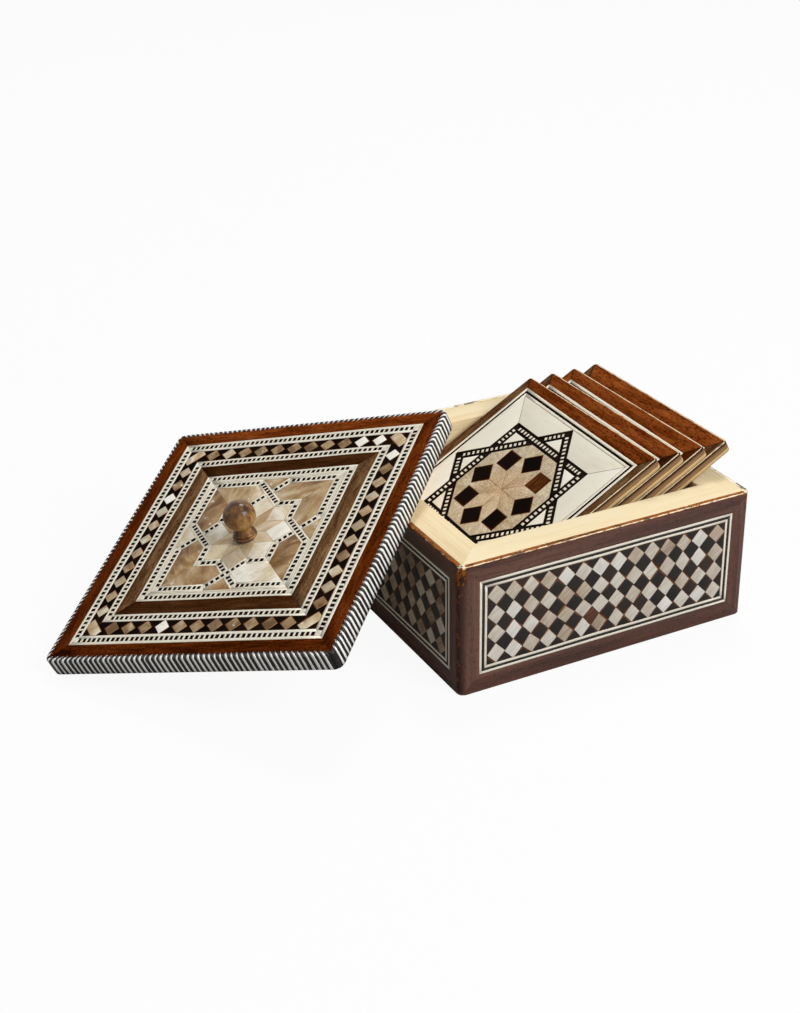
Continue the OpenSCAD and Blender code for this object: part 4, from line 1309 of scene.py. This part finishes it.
def star_crossings(turned):
    """Where the other square passes over this one: each side goes under the side that is 45
    degrees before it."""
    found = []
    reach = (star_half - coaster_ribbon / 2) / np.cos(wedge_turn)
    for quarter in range(4):
        facing_way = np.radians(turned + 90 * quarter)
        meeting, over = facing_way - wedge_turn, facing_way - np.radians(45)
        found.append((reach * np.array([np.cos(meeting), np.sin(meeting)]),
                      np.array([-np.sin(over), np.cos(over)]), coaster_ribbon))
    return found


def coaster_frame(mahogany_strips, walnut_strips, number):
    """Four strips, the near one first. The near and the far one are walnut, but on coaster 3 all
    are mahogany, and the near ones of coasters 2 and 3 are dark."""
    for side, run in enumerate(straight_runs(square(coaster_half))):
        in_walnut = side % 2 == 0 and number != 3
        group = walnut_strips if in_walnut else mahogany_strips
        tone = 0.75 if in_walnut else 0.6 + 0.35 * dice.random()
        if side == 0 and number in (2, 3):
            tone = -0.3
        group.moulding(short_of_mitres(run), worn_frame, frame_knots, round_coaster_corner, tone=tone,
                       worn=np.maximum(frame_glued, mitre_dark), ink=frame_rubbed_and_highlit)


def coaster_star(inks):
    """Two squares, one turned by 45 degrees, each a black ribbon with a row of white dashes."""
    side, (low, high) = coaster_ribbon / 2, ribbon_dashes
    for turned in (0.0, 45.0):
        for run in straight_runs(star_square(turned), star_crossings(turned)):
            for edges in ((-side, low), (high, side)):
                inks.moulding(run, flat_profile(*edges, groove=0.05), np.linspace(0, 1, 4), ink=1.0,
                              tone=0.5 * dice.random(), worn=flat_worn * 0.3)
            dash_row(inks, run, low, high, star_dash_pitch, star_dash_share, 0.0, gap_ink=1.0)


burr, field_wood = beige_wood(), ivory_field()
for number in coasters:
    face = coaster_matrix(number) @ moved(0, 0, coaster_board + inlay_thickness)
    push = off_centre(coaster_line, coaster_half, *inlay_places[number - 1])
    frames, near_frames, inks, fields, squares, wedges = (Pieces(face, push) for _ in range(6))
    coaster_frame(frames, near_frames, number)
    for half, width, ink in coaster_lines:
        for run in straight_runs(square(half)):
            inks.moulding(run, flat_profile(0.0, width, groove=0.06), np.linspace(0, 1, 10), ink=ink,
                          tone=0.4 * dice.random(), worn=flat_worn * 0.6)
    for quarter in range(4):
        for outline in (field_half, field_half[::-1] * [-1, 1]):
            fields.tile(spun(inset(outline, field_joint), quarter), inlay_thickness,
                        tone=dice.random(), grain=quarter * np.pi / 2)
    coaster_star(inks)
    for eighth in range(8):
        spin = turn(45.0 * eighth)[:2, :2].T
        fields.tile(inset(star_tip, field_joint) @ spin, inlay_thickness,
                    tone=dice.random(), grain=dice.uniform(0, 3))
        squares.tile(shaken(dark_square @ spin, 0.1), inlay_thickness, sway=0.01, groove=0.4,
                     tone=orange_tone if eighth == 7 else 0.3 * dice.random(),
                     grain=np.radians(45.0 * eighth + 45))
        wedges.tile(inset(wedge, wedge_joint) @ spin, inlay_thickness, tone=dice.random(),
                    grain=np.radians(45.0 * eighth + 22.5), ink=central)
    body, piece = coaster_body(number), f"coaster_{number}"
    frames.build(f"{piece}_frame_strips", mahogany, body, "mahogany", (f"{piece}_frame",), smooth=40)
    if near_frames.count:
        near_frames.build(f"{piece}_near_strip", walnut, body, "walnut", smooth=40)
    inks.build(f"{piece}_lines_and_star", inked, body, "ebony")
    fields.build(f"{piece}_field", field_wood, body, "bone", (f"{piece}_ivory",))
    squares.build(f"{piece}_dark_squares", dark_wood, body, "ebony", (f"{piece}_black",))
    wedges.build(f"{piece}_octagon", burr, body, "beige_wood", (f"{piece}_medallion",))
